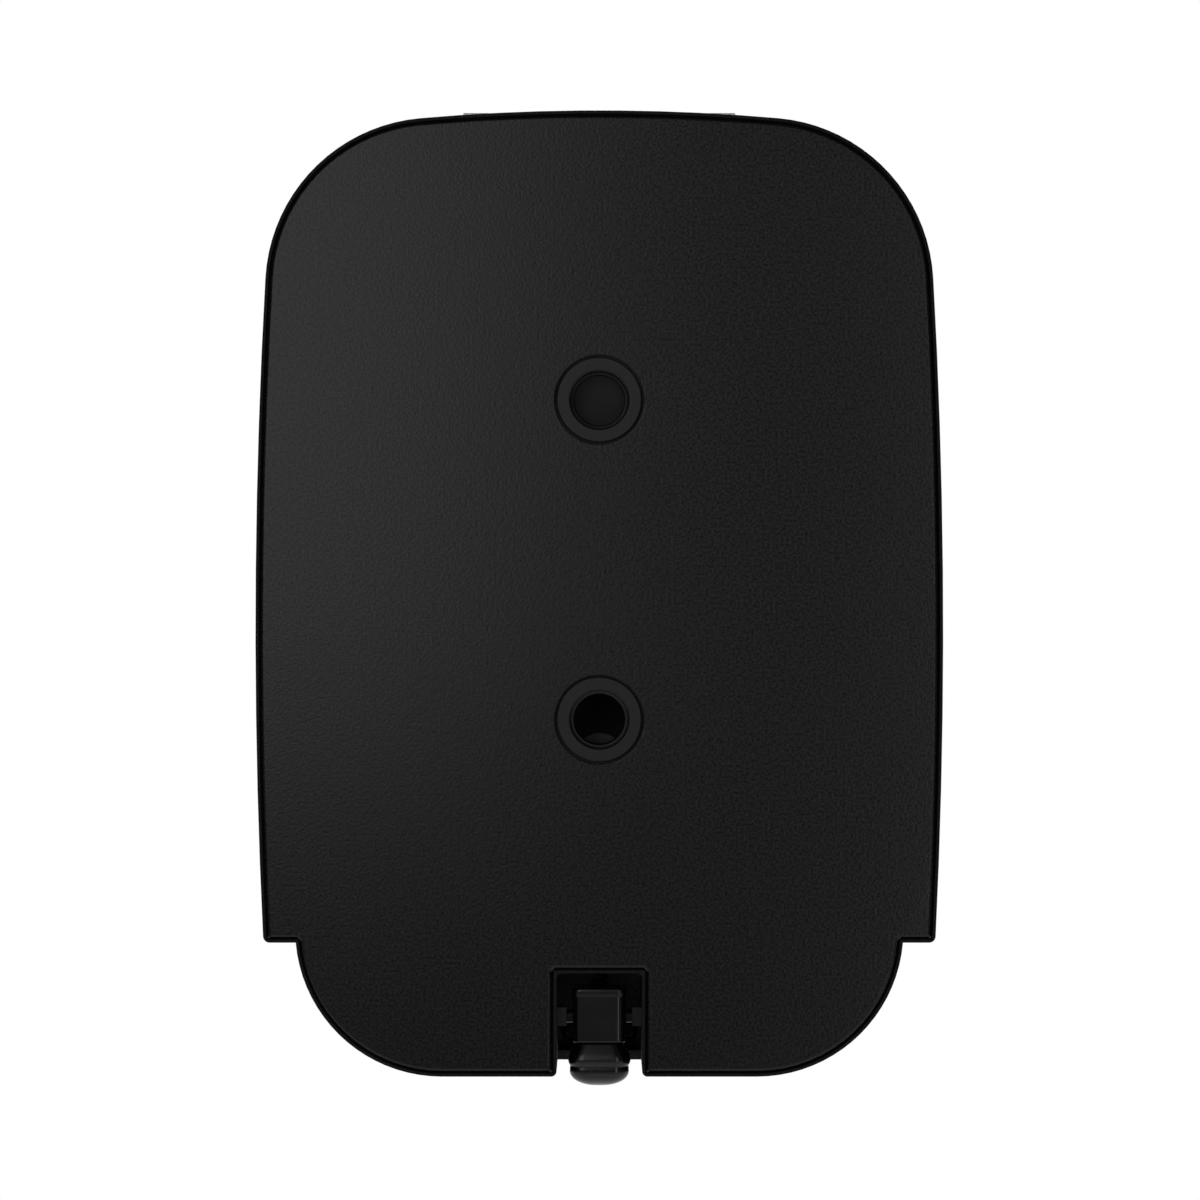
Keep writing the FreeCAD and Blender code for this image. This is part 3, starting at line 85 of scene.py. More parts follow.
sky_tree.links.new(seen_sky.outputs["Background"], choose.inputs[2])
sky_tree.links.new(choose.outputs["Shader"], sky_tree.nodes["World Output"].inputs["Surface"])


def soft_box(name, place, aim, size, power):
    """A rectangular light, in metres and watts, that the camera doesn't see."""
    data = bpy.data.lights.new(name, "AREA")
    data.shape = "RECTANGLE"
    data.size, data.size_y = size
    data.energy = power
    box = bpy.data.objects.new(name, data)
    box.visible_camera = False
    bpy.context.scene.collection.objects.link(box)
    box.location = place
    box.rotation_euler = (Vector(aim) - Vector(place)).to_track_quat("-Z", "Y").to_euler()


soft_box("back_key", (0.37, 0.9, 0.32), (0.37, 0, 0.32), (0.66, 0.84), 2.1)
soft_box("back_edge", (-0.30, 0.9, 0.02), (-0.30, 0, 0.02), (0.12, 0.8), 0.6)
soft_box("front_key", (-1.2, -2.2, 1.6), (0, -0.1, 0), (1.0, 1.0), 34)
soft_box("front_fill", (2.2, -1.6, 0.4), (0, -0.1, 0), (0.6, 1.4), 12)
soft_box("top", (0, -1.1, 2.4), (0, -1.0, 0), (1.8, 1.2), 50)

floor_height = -0.6
floor_reach = 3.0
floor_steps = 96
floor_colour = (0.88, 0.88, 0.87, 1)
floor_roughness = 0.8
floor_glow = 0.4            # added for the camera's rays only, so that the floor stays pale
floor_mesh = bpy.data.meshes.new("floor")
shape = bmesh.new()
bmesh.ops.create_circle(shape, cap_ends=True, segments=floor_steps, radius=floor_reach)
shape.to_mesh(floor_mesh)
shape.free()
floor = bpy.data.objects.new("floor", floor_mesh)
floor.location = (0, 0, floor_height)
bpy.context.scene.collection.objects.link(floor)
floor_paint = bpy.data.materials.new("floor_paint")
floor_paint.use_nodes = True
floor_shader = floor_paint.node_tree.nodes["Principled BSDF"]
floor_shader.inputs["Base Color"].default_value = floor_colour
floor_shader.inputs["Roughness"].default_value = floor_roughness
floor_rays = floor_paint.node_tree.nodes.new("ShaderNodeLightPath")
floor_paint.node_tree.links.new(floor_rays.outputs["Is Camera Ray"],
                                floor_shader.inputs["Emission Color"])
floor_shader.inputs["Emission Strength"].default_value = floor_glow
floor_mesh.materials.append(floor_paint)


# ---------------------------------------------------------------- housing plastic
# The casing, door, hood, cover and baffle are injection-moulded in black with a fine spark
# grain. Their edges are a little rounded and rubbed, and the flat faces vary slightly in sheen.
class Wire:
    """A socket that can be worked with in expressions; each operation adds its Math node."""

    def __init__(self, tree, socket):
        self.tree = tree
        self.socket = socket

    def maths(self, operation, *values):
        node = self.tree.nodes.new("ShaderNodeMath")
        node.operation = operation
        for slot, value in zip(node.inputs, values):
            connect(self.tree, slot, value)
        return Wire(self.tree, node.outputs[0])

    def __add__(self, other):
        return self.maths("ADD", self, other)

    __radd__ = __add__

    def __sub__(self, other):
        return self.maths("SUBTRACT", self, other)

    def __rsub__(self, other):
        return self.maths("SUBTRACT", other, self)

    def __mul__(self, other):
        return self.maths("MULTIPLY", self, other)

    __rmul__ = __mul__

    def __gt__(self, other):
        return self.maths("GREATER_THAN", self, other)

    def size(self):
        return self.maths("ABSOLUTE", self)

    def clamp(self):
        return self.maths("MINIMUM", self.maths("MAXIMUM", self, 0.0), 1.0)


def connect(tree, slot, value):
    """Links a wire to a socket, or sets the socket to a number, colour or vector."""
    if isinstance(value, Wire):
        tree.links.new(value.socket, slot)
    else:
        slot.default_value = value


class Finish:
    """A material: constants go straight on its shader, and wires feed what varies."""

    def __init__(self, name, constants):
        self.material = bpy.data.materials.new(name)
        self.material.use_nodes = True
        self.tree = self.material.node_tree
        self.shader = self.tree.nodes["Principled BSDF"]
        for socket, value in constants.items():
            self.shader.inputs[socket].default_value = value

    def node(self, kind, settings, values, output=0):
        """Adds one node: its settings first, then its sockets' values or links."""
        made = self.tree.nodes.new(kind)
        for name, setting in settings.items():
            setattr(made, name, setting)
        for name, value in values.items():
            connect(self.tree, made.inputs[name], value)
        return Wire(self.tree, made.outputs[output])

    def place(self):
        return self.node("ShaderNodeTexCoord", {}, {}, "Object")

    def noise(self, scale, detail=2.0, place=None):
        where = place or self.place()
        return self.node("ShaderNodeTexNoise", {},
                         {"Vector": where, "Scale": scale, "Detail": detail})

    def between(self, low, high, amount):
        """A colour between two, by a wire from 0 to 1."""
        return self.node("ShaderNodeMix", {"data_type": "RGBA"}, {0: amount, 6: low, 7: high}, 2)

    def axis(self, name, place=None):
        where = place or self.place()
        return self.node("ShaderNodeSeparateXYZ", {}, {0: where}, name)

    def rounded(self, radius):
        """Normals that turn smoothly over the edges, as far as the radius."""
        return self.node("ShaderNodeBevel", {"samples": 4}, {"Radius": radius}, "Normal")

    def edge(self, normals):
        """0 on flat faces, rising to 1 along the edges that those normals round."""
        true = self.node("ShaderNodeNewGeometry", {}, {}, "True Normal")
        along = self.node("ShaderNodeVectorMath", {"operation": "DOT_PRODUCT"},
                          {0: normals, 1: true}, "Value")
        return ((1 - along) * 3.0).clamp()

    def bump(self, height, distance, strength=1.0, normals=None):
        values = {"Height": height, "Distance": distance, "Strength": strength}
        if normals:
            values["Normal"] = normals
        return self.node("ShaderNodeBump", {}, values, "Normal")

    def feed(self, **wires):
        for name, wire in wires.items():
            self.tree.links.new(wire.socket, self.shader.inputs[name.replace("_", " ")])
        return self.material


def moulded_plastic(name, dark, light, grain_size, grain_depth, roughness, edge_radius,
                    wear=0.4, painted_shade_from_y=None):
    """Grained plastic: shallow pits at the grain's size, patchy sheen, rubbed edges. What lies
    further back than the given depth is left rougher and painted near-black, a painted shade."""
    patch_scale, pit_share, speck_contrast = 14.0, 0.45, 3.5
    patch_sheen, speck_sheen, rub_sheen = 0.03, 0.12, 0.2
    # The near-black colour below is a painted shade, laid on what lies further back than the given
    # depth.
    painted_shade_colour, rim_roughness = (0.0012, 0.0012, 0.0012, 1), 0.45
    made = Finish(name, {"Specular IOR Level": 0.42, "IOR": 1.49})
    cells = made.noise(1 / grain_size, 2.0)
    pits = made.noise(pit_share / grain_size, 1.0)
    patches = made.noise(patch_scale, 3.0)
    specks = ((cells - 0.5) * speck_contrast + 0.5).clamp()
    normals = made.rounded(edge_radius)
    rubbed = made.edge(normals)
    tone = (specks * 0.6 + patches * 0.2 + rubbed * wear).clamp()
    colour = made.between((*dark, 1), (*light, 1), tone)
    sheen = ((patches - 0.5) * patch_sheen + (specks - 0.5) * speck_sheen
             - rubbed * wear * rub_sheen + roughness)
    relief = made.bump(cells * 0.7 + pits * 0.3, grain_depth, 1.0, normals)
    # Painted shade: what lies further back than the given depth takes the near-black colour.
    if painted_shade_from_y:
        rim = made.axis("Y") > painted_shade_from_y
        colour = made.between(colour, painted_shade_colour, rim)
        sheen = sheen + rim * rim_roughness
    return made.feed(Base_Color=colour, Roughness=sheen, Normal=relief)


black_dark, black_light = (0.0035, 0.0035, 0.0037), (0.0135, 0.0135, 0.014)
housing_plastic = moulded_plastic(
    "housing_plastic", black_dark, black_light,
    grain_size=0.0010, grain_depth=0.00012, roughness=0.32, edge_radius=0.0006)
# The casing's rim round the cover's edge and the latch recess gets a painted shade: near-black,
# for the shade of the seam between them.
casing_plastic = moulded_plastic(
    "casing_plastic", black_dark, black_light,
    grain_size=0.0008, grain_depth=0.00012, roughness=0.36, edge_radius=0.0003,
    wear=0.2, painted_shade_from_y=-0.0042)
cover_plastic = moulded_plastic(
    "cover_plastic", (0.0010, 0.0010, 0.0011), (0.0062, 0.0062, 0.0065),
    grain_size=0.0008, grain_depth=0.00007, roughness=0.27, edge_radius=0.0003, wear=0.0)
hood_plastic = moulded_plastic(
    "hood_plastic", (0.007, 0.007, 0.0072), (0.019, 0.019, 0.0195),
    grain_size=0.0007, grain_depth=0.00005, roughness=0.52, edge_radius=0.0009)


def finish_nodes(material, *names):
    """Gives CAD nodes that keep their own shape their material."""
    for name in names:
        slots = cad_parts[name].data.materials
        slots.clear()
        slots.append(material)


finish_nodes(casing_plastic, "casing")
finish_nodes(housing_plastic, "door_frame", "hood_baffle")
finish_nodes(hood_plastic, "hood")

# ---------------------------------------------------------------- rear cover
# The flat plate that closes the back, moulded in one with the posts inside it that take the
# screws. Its edge and the rims of its two holes are rounded. Eight screws hold it from inside.
cover_thickness = 3.0
cover_inset = 1.5           # from the housing's outline to the cover's edge
edge_round = 1.1
hole_radius = 13.4
hole_round = 0.35
boss_height = 48.0
post_radius = 4.0
post_foot = 0.6             # radius of the fillet at a post's foot
post_round = 0.3
pilot_radius = 1.55
pilot_floor = 1.5

# The housing's outline: arcs for the top, shoulders, sides and lower corners, a ledge in each
# side and a recess in the foot.
half_width, widest_height, side_curve = 103.2, -21.0, 1872.0
top_height, top_curve, shoulder_curve = 134.8, 618.0, 51.0
ledge_height, ledge_round = -115.0, 2.0
lower_centre, lower_curve, base_height = 47.3, 44.0, -155.2
recess_half, recess_top, recess_round = 12.85, -124.2, 1.6
inner_round, least_round = 1.3, 0.4
top_steps, shoulder_steps, side_steps, lower_steps = 8, 18, 14, 16


def at(across, depth, up):
    """A point from millimetres: across, ahead of the rear face, and up."""
    return Vector((across, -depth, up)) / 1000


def arc_points(centre, radius, start, end, steps):
    for step in range(steps + 1):
        turn = start + (end - start) * step / steps
        yield (centre[0] + radius * math.cos(turn), centre[1] + radius * math.sin(turn)), 0


def corner_points(before, corner, after, radius, steps=4):
    """A corner's points once it is rounded off."""
    here = Vector(corner)
    near, far = (Vector(before) - here).normalized(), (Vector(after) - here).normalized()
    half = near.angle(far) / 2
    middle = here + (near + far).normalized() * radius / math.sin(half)
    start = here + near * radius / math.tan(half) - middle
    end = here + far * radius / math.tan(half) - middle
    for step in range(steps + 1):
        share = step / steps
        turned = start.slerp(end, share) if share not in (0, 1) else (start, end)[step // steps]
        yield tuple(middle + turned)


def outline(inset):
    """The housing's outline, shrunk by the inset. Each inset gives as many points."""
    top = (0, top_height - top_curve)
    side = (half_width - side_curve, widest_height)
    reach_top, reach_side = top_curve - shoulder_curve, side_curve - shoulder_curve
    apart = math.dist(top, side)
    towards = math.atan2(side[1] - top[1], side[0] - top[0])
    swing = math.acos((reach_top ** 2 + apart ** 2 - reach_side ** 2) / (2 * reach_top * apart))
    start = towards - swing
    shoulder = (reach_top * math.cos(start), top[1] + reach_top * math.sin(start))
    bend = math.atan2(shoulder[1] - side[1], shoulder[0] - side[0])
    ledge = ledge_height + inset
    drop = math.asin((ledge - widest_height) / (side_curve - inset))
    lower = (lower_centre, base_height + lower_curve)
    foot = math.asin((ledge - lower[1]) / (lower_curve - inset))
    right = list(arc_points(top, top_curve - inset, math.pi / 2, start, top_steps))
    right += list(arc_points(shoulder, shoulder_curve - inset, start, bend, shoulder_steps))[1:]
    right += list(arc_points(side, side_curve - inset, bend, drop, side_steps))[1:]
    right[-1] = (right[-1][0], max(ledge_round - inset, least_round))
    corner, *rest = arc_points(lower, lower_curve - inset, foot, -math.pi / 2, lower_steps)
    right += [(corner[0], inner_round), *rest]
    notch = recess_half + inset
    right.append(((notch, base_height + inset), max(recess_round - inset, least_round)))
    right.append(((notch, recess_top + inset), inner_round))
    left = [((-place[0], place[1]), radius) for place, radius in reversed(right[1:])]
    around = right + left
    points = []
    for index, (place, radius) in enumerate(around):
        if radius:
            before, after = around[index - 1][0], around[(index + 1) % len(around)][0]
            points += corner_points(before, place, after, radius)
        else:
            points.append(place)
    return points


def circle(radius, middle=(0, 0), steps=48, profile=lambda turn: 1):
    """Points round a circle, or round a shape whose reach at each turn the profile gives."""
    turns = [math.tau * step / steps for step in range(steps)]
    return [(middle[0] + radius * profile(turn) * math.cos(turn),
             middle[1] + radius * profile(turn) * math.sin(turn)) for turn in turns]


class Moulding:
    """A closed mesh built up from loops of points."""

    def __init__(self):
        self.mesh = bmesh.new()

    def loop(self, points):
        return [self.mesh.verts.new(point) for point in points]

    def flat_loop(self, points, depth):
        return self.loop([at(across, depth, up) for across, up in points])

    def wall(self, *loops):
        """Joins each loop to the next; all have as many points."""
        for first, second in zip(loops, loops[1:]):
            for index, point in enumerate(first):
                behind = index - 1
                self.mesh.faces.new((first[behind], point, second[index], second[behind]))

    def lid(self, *loops):
        """Fills the flat region inside the first loop and outside the others."""
        edges = [self.mesh.edges.get((loop[index - 1], loop[index])) or
                 self.mesh.edges.new((loop[index - 1], loop[index]))
                 for loop in loops for index in range(len(loop))]
        bmesh.ops.triangle_fill(self.mesh, edges=edges, use_beauty=True)

    def turned(self, profile, middle=(0, 0), steps=48, closed=False, shapes=None):
        """A solid of revolution along the depth, from (radius, depth) stations."""
        shapes = shapes or {}
        loops = []
        for index, (radius, depth) in enumerate(profile):
            shape = shapes.get(index, lambda turn: 1)
            loops.append(self.flat_loop(circle(radius, middle, steps, shape), depth))
        if closed:
            loops.append(loops[0])
        self.wall(*loops)
        if not closed:
            self.lid(loops[0])
            self.lid(loops[-1])

    def piece(self, name, body, material, slot, nodes=(), sharp=35):
        """Finishes the mesh as an object that stands for those CAD nodes, and attaches it to its
        body if it has one."""
        bmesh.ops.recalc_face_normals(self.mesh, faces=self.mesh.faces)
        data = bpy.data.meshes.new(name)
        self.mesh.to_mesh(data)
        self.mesh.free()
        data.shade_smooth()
        data.set_sharp_from_angle(angle=math.radians(sharp))
        data.materials.append(material)
        made = bpy.data.objects.new(name, data)
        bpy.context.scene.collection.objects.link(made)
        flats = made.modifiers.new("flats", "WEIGHTED_NORMAL")
        flats.keep_sharp = True
        if body:
            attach(made, body)
        if nodes:
            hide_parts(*nodes)
        return made


def quarter(radius, steps=5):
    """How far in and how deep a rounded edge is, from its side to its face."""
    for step in range(steps + 1):
        turn = math.pi / 2 * step / steps
        yield radius * (1 - math.cos(turn)), radius * (1 - math.sin(turn))


hole_steps, post_steps = 72, 24
plate = Moulding()
rim = [plate.flat_loop(outline(cover_inset), cover_thickness)]
rim += [plate.flat_loop(outline(cover_inset + inwards), depth)
        for inwards, depth in quarter(edge_round)]
plate.wall(*rim)
face_loops, floor_loops = [rim[-1]], [rim[0]]
for height in (boss_height, -boss_height):
    hole = [plate.flat_loop(circle(hole_radius, (0, height), hole_steps), cover_thickness)]
    hole += [plate.flat_loop(circle(hole_radius + inwards, (0, height), hole_steps), depth)
             for inwards, depth in quarter(hole_round, 3)]
    plate.wall(*hole)
    face_loops.append(hole[-1])
    floor_loops.append(hole[0])


def solids_of(node):
    """The box of each separate solid of a CAD node, in mm: across, depth and up."""
    shape = bmesh.new()
    shape.from_mesh(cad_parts[node].data)
    bmesh.ops.remove_doubles(shape, verts=shape.verts, dist=1e-6)
    waiting = set(shape.verts)
    boxes = []
    for seed in shape.verts:
        if seed in waiting:
            waiting.discard(seed)
            solid, fresh = [seed], [seed]
            while fresh:
                for edge in fresh.pop().link_edges:
                    found = set(edge.verts) & waiting
                    waiting -= found
                    fresh += found
                    solid += found
            spans = [[sign * corner.co[axis] * 1000 for corner in solid]
                     for axis, sign in ((0, 1), (1, -1), (2, 1))]
            boxes.append([(min(span), max(span)) for span in spans])
    shape.free()
    return boxes


def box_of(node):
    """The box of a whole CAD node, in mm: across, depth and up."""
    low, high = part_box(node)
    return [(low.x * 1000, high.x * 1000), (-high.y * 1000, -low.y * 1000),
            (low.z * 1000, high.z * 1000)]


def middle_of(box):
    """The middle of such a box, across and up."""
    return sum(box[0]) / 2, sum(box[2]) / 2


post_ends = {"cover_screws": 7.0, "mount_plate_screws": 6.0, "board_screws": 12.0}
terminal_post_inset = 5.0   # from the terminal block's ends
for node, post_end in post_ends.items():
    for box in solids_of(node):
        spot = middle_of(box)
        post = [plate.flat_loop(circle(radius, spot, post_steps), depth) for radius, depth in (
            (post_radius + post_foot, cover_thickness),
            (post_radius + post_foot * 0.3, cover_thickness + post_foot * 0.3),
            (post_radius, cover_thickness + post_foot), (post_radius, post_end - post_round),
            (post_radius - post_round, post_end), (pilot_radius, post_end),
            (pilot_radius, pilot_floor))]
        plate.wall(*post)
        plate.lid(post[-1])
        floor_loops.append(post[0])
terminal_box = box_of("terminal_block")
terminal_middle = middle_of(terminal_box)[0]
for up in (terminal_box[2][0] + terminal_post_inset, terminal_box[2][1] - terminal_post_inset):
    post = [plate.flat_loop(circle(post_radius, (terminal_middle, up), post_steps), depth)
            for depth in (cover_thickness, terminal_box[1][0])]
    plate.wall(*post)
    plate.lid(post[-1])
    floor_loops.append(post[0])
plate.lid(*face_loops)
plate.lid(*floor_loops)
plate.piece("rear_cover_plate", "housing", cover_plastic, "housing_black", ["rear_cover"])

# ---------------------------------------------------------------- mounting bushings
# Two turned nylon bushings pass through the cover and are clamped by ring nuts against a steel
# plate. The upper one is a blind socket for a locating spigot; the lower one lets the cable in.
bushing_plastic = moulded_plastic(
    "bushing_plastic", (0.003, 0.003, 0.0032), (0.009, 0.009, 0.0095),
    grain_size=0.0006, grain_depth=0.00004, roughness=0.44, edge_radius=0.0003)
ring_face, mouth_bevel, outer_round = 0.5, 0.55, 0.4
step_round, end_bevel, flange_bevel, bushing_steps = 0.2, 0.4, 0.3, 96
mouth_radius, bore_radius, bushing_radius = 8.6, 7.7, 12.75
flange_radius, flange_rear, flange_front = 17.0, 3.0, 6.0
bushing_end, thread_start, thread_pitch, thread_depth = 20.0, 9.3, 1.5, 0.55
for name, height, step_depth in (("upper", boss_height, 9.0), ("lower", -boss_height, 2.5)):
    stations = [(mouth_radius + mouth_bevel, ring_face), (mouth_radius, ring_face + mouth_bevel),
                (mouth_radius, step_depth - step_round), (mouth_radius - step_round, step_depth),
                (bore_radius + step_round, step_depth), (bore_radius, step_depth + step_round),
                (bore_radius, bushing_end - end_bevel), (bore_radius + end_bevel, bushing_end),
                (bushing_radius - 0.9, bushing_end)]
    threads = int((bushing_end - thread_start) / thread_pitch)
    for turn in reversed(range(threads)):
        start = thread_start + turn * thread_pitch
        stations += [(bushing_radius - thread_depth, start + thread_pitch),
                     (bushing_radius, start + 0.65 * thread_pitch),
                     (bushing_radius, start + 0.35 * thread_pitch)]
    stations += [(bushing_radius - thread_depth, thread_start),
                 (bushing_radius, thread_start - flange_bevel), (bushing_radius, flange_front),
                 (flange_radius - flange_bevel, flange_front),
                 (flange_radius, flange_front - flange_bevel), (flange_radius, flange_rear),
                 (bushing_radius, flange_rear)]
    stations += [(bushing_radius - inwards, ring_face + deep)
                 for inwards, deep in quarter(outer_round, 4)]
    bushing = Moulding()
    bushing.turned(stations, (0, height), bushing_steps, closed=True)
    bushing.piece(name + "_bushing_turned", "housing", bushing_plastic, "bushing_black",
                  [name + "_bushing"], 25)

# The plate behind them is 3 mm steel, powder-coated black, with the coat's orange peel.
plate_coat = Finish("plate_coat", {
    "Specular IOR Level": 0.5, "Coat Weight": 0.3, "Coat Roughness": 0.3})
peel = plate_coat.noise(900.0, 1.0)
finish_nodes(plate_coat.feed(
    Base_Color=plate_coat.between((0.012, 0.012, 0.013, 1), (0.026, 0.026, 0.028, 1),
                                  plate_coat.noise(60.0, 4.0)),
    Roughness=(peel - 0.5) * 0.1 + 0.36,
    Normal=plate_coat.bump(peel, 0.00008, 0.7, plate_coat.rounded(0.0004))), "mount_plate")

# Rubber: the upper socket's plug, the cable entry's edging, the door's gasket, the seals behind
# the lenses and the vent's plug.
rubber = Finish("rubber", {
    "Specular IOR Level": 0.35, "Sheen Weight": 0.15, "Sheen Roughness": 0.5})
bloom = rubber.noise(220.0, 4.0)
finish_nodes(rubber.feed(
    Base_Color=rubber.between((0.009, 0.009, 0.009, 1), (0.028, 0.027, 0.026, 1), bloom),
    Roughness=bloom * 0.2 + 0.66,
    Normal=rubber.bump(rubber.noise(2600.0, 2.0), 0.00003, 0.5, rubber.rounded(0.0004))),
    "upper_socket_plug", "cable_entry_grommet", "door_gasket", "red_lens_seal",
    "green_lens_seal", "vent_plug")

# ---------------------------------------------------------------- screws
# Zinc-plated pan-head screws with a cross recess, rolled threads and a faint yellow-blue cast to
# the plating. Each group's places come from the solids of its CAD node.
zinc = Finish("zinc_plate", {"Metallic": 1.0})
cast = zinc.noise(500.0, 3.0)
fine_marks = zinc.noise(4000.0, 2.0)
finish_zinc = zinc.feed(
    Base_Color=zinc.between((0.50, 0.51, 0.54, 1), (0.66, 0.64, 0.58, 1), cast),
    Roughness=fine_marks * 0.22 + 0.20,
    Normal=zinc.bump(fine_marks, 0.00001, 0.5, zinc.rounded(0.0002)))
# The zinc-plated steel behind the latch recess is coloured near-black, a painted shade for the
# deep shade of the recess.
painted_shade_zinc = Finish("painted_shade_steel", {"Metallic": 1.0})
stain = painted_shade_zinc.noise(700.0, 3.0)
painted_shade_zinc_finish = painted_shade_zinc.feed(
    Base_Color=painted_shade_zinc.between((0.010, 0.010, 0.011, 1), (0.030, 0.030, 0.034, 1), stain),
    Roughness=stain * 0.2 + 0.34,
    Normal=painted_shade_zinc.bump(stain, 0.00002, 0.5, painted_shade_zinc.rounded(0.0003)))
head_radius, head_height, head_crown = 2.8, 2.2, 0.6
shank_radius, root_radius, screw_pitch, tip_length = 1.5, 1.15, 1.0, 0.6
cross_reach, cross_half, cross_depth = 1.5, 0.38, 1.2
cross_taper, screw_steps = 0.75, 32


def cross(scale):
    """The reach of a cross recess at each turn, as a share of the circle it is cut from."""
    def reach(turn):
        off = min(abs(math.sin(turn)), abs(math.cos(turn)))
        return min(1.0, cross_half / cross_reach / max(off, 0.01)) * scale
    return reach


def add_screw(moulding, spot, seat, tip):
    """One screw, given the depths of its head's seat and of its tip."""
    way = math.copysign(1, tip - seat)
    crown = seat - way * head_height
    stations = [(cross_reach, crown + way * cross_depth), (cross_reach, crown),
                (head_radius * 0.72, crown + way * 0.08),
                (head_radius * 0.93, crown + way * head_crown),
                (head_radius, crown + way * head_crown * 2), (head_radius, seat - way * 0.1),
                (head_radius - 0.1, seat), (shank_radius, seat)]
    along = seat
    while abs(tip - along) > screw_pitch + tip_length:
        stations += [(shank_radius, along + way * 0.2 * screw_pitch),
                     (root_radius, along + way * 0.5 * screw_pitch),
                     (shank_radius, along + way * 0.8 * screw_pitch)]
        along += way * screw_pitch
    stations += [(root_radius, tip - way * tip_length), (root_radius * 0.5, tip)]
    moulding.turned(stations, spot, screw_steps, shapes={0: cross(cross_taper), 1: cross(1.0)})


screw_groups = {"mount_plate_screws": "housing", "cover_screws": "housing",
                "board_screws": "housing", "terminal_screws": "housing",
                "hood_screws": "door", "keeper_screws": "door",
                "red_clamp_screws": "door", "green_clamp_screws": "door"}
for node, body in screw_groups.items():
    screws = Moulding()
    faces_rear = node.endswith(("clamp_screws", "keeper_screws"))
    for box in solids_of(node):
        rear, front = box[1]
        if faces_rear:
            add_screw(screws, middle_of(box), rear + head_height, front)
        else:
            add_screw(screws, middle_of(box), front - head_height, rear)
    # The keeper's screws, deep in the latch recess, get its painted shade.
    plating = painted_shade_zinc_finish if node == "keeper_screws" else finish_zinc
    screws.piece(node + "_pan_head", body, plating, "zinc_steel", [node], 30)
finish_nodes(finish_zinc, "hinge_pin_right", "hinge_pin_left", "upper_ring_nut", "lower_ring_nut")
# So do the latch's pin and keeper: near-black, a painted shade.
finish_nodes(painted_shade_zinc_finish, "latch_pin", "latch_keeper")

# ---------------------------------------------------------------- driver board
# A green glass-epoxy board with copper tracks under its solder mask. On it stand an inductor
# taped over its ferrite core, two sleeved capacitors and an extruded aluminium heatsink.
upright = (math.pi / 2, 0, 0)
mask_green = Finish("solder_mask", {
    "Specular IOR Level": 0.5, "Coat Weight": 0.35, "Coat Roughness": 0.15})
turned_board = mask_green.node("ShaderNodeMapping", {},
                               {"Vector": mask_green.place(), "Rotation": upright})
tracks = mask_green.node("ShaderNodeTexBrick", {"offset": 0.5, "squash": 0.7}, {
    "Vector": turned_board, "Scale": 130.0, "Mortar Size": 0.055, "Mortar Smooth": 0.1}, "Fac")
weave = mask_green.noise(1500.0, 2.0)
finish_nodes(mask_green.feed(
    Base_Color=mask_green.between((0.004, 0.05, 0.018, 1), (0.03, 0.14, 0.05, 1),
                                  (tracks * 0.8 + weave * 0.2).clamp()),
    Roughness=weave * 0.12 + 0.28,
    Normal=mask_green.bump(tracks, 0.00004, 0.8)), "driver_board")

# The boards that carry the lights' LEDs are masked white in front; behind they are painted
# near-black, a painted shade for the dark inside of the housing.
mask_white = Finish("white_board", {
    "Specular IOR Level": 0.5, "Coat Weight": 0.25, "Coat Roughness": 0.2})
turned_white = mask_white.node("ShaderNodeMapping", {},
                               {"Vector": mask_white.place(), "Rotation": upright})
white_tracks = mask_white.node("ShaderNodeTexBrick", {"offset": 0.5}, {
    "Vector": turned_white, "Scale": 90.0, "Mortar Size": 0.05, "Mortar Smooth": 0.1}, "Fac")
painted_shade_thickness = 0.0002
painted_shade_back = mask_white.axis("Y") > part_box("green_led_board")[1].y - painted_shade_thickness
white_side = mask_white.between((0.66, 0.66, 0.63, 1), (0.82, 0.82, 0.80, 1), white_tracks)
finish_nodes(mask_white.feed(
    Base_Color=mask_white.between(white_side, (0.006, 0.006, 0.006, 1), painted_shade_back),
    Roughness=mask_white.noise(300.0) * 0.15 + 0.3,
    Normal=mask_white.bump(white_tracks, 0.00004, 0.8)), "red_led_board", "green_led_board")

# The inductor: yellow tape round the middle of a dark ferrite core.
core = Finish("taped_core", {"Specular IOR Level": 0.45})
core_low, core_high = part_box("driver_inductor")
tape_share = 0.62
off_middle = (core.axis("Z") - (core_low.z + core_high.z) / 2).size()
taped = 1 - (off_middle > (core_high.z - core_low.z) / 2 * tape_share)
grit = core.noise(1800.0, 3.0)
ferrite = core.between((0.022, 0.021, 0.021, 1), (0.05, 0.048, 0.046, 1), grit)
tape = core.between((0.50, 0.33, 0.03, 1), (0.62, 0.43, 0.05, 1), core.noise(90.0))
finish_nodes(core.feed(
    Base_Color=core.between(ferrite, tape, taped),
    Roughness=0.62 - taped * 0.3 + grit * 0.1,
    Normal=core.bump(grit * (1 - taped) + taped * 0.8, 0.00006, 0.8, core.rounded(0.0005))),
    "driver_inductor")

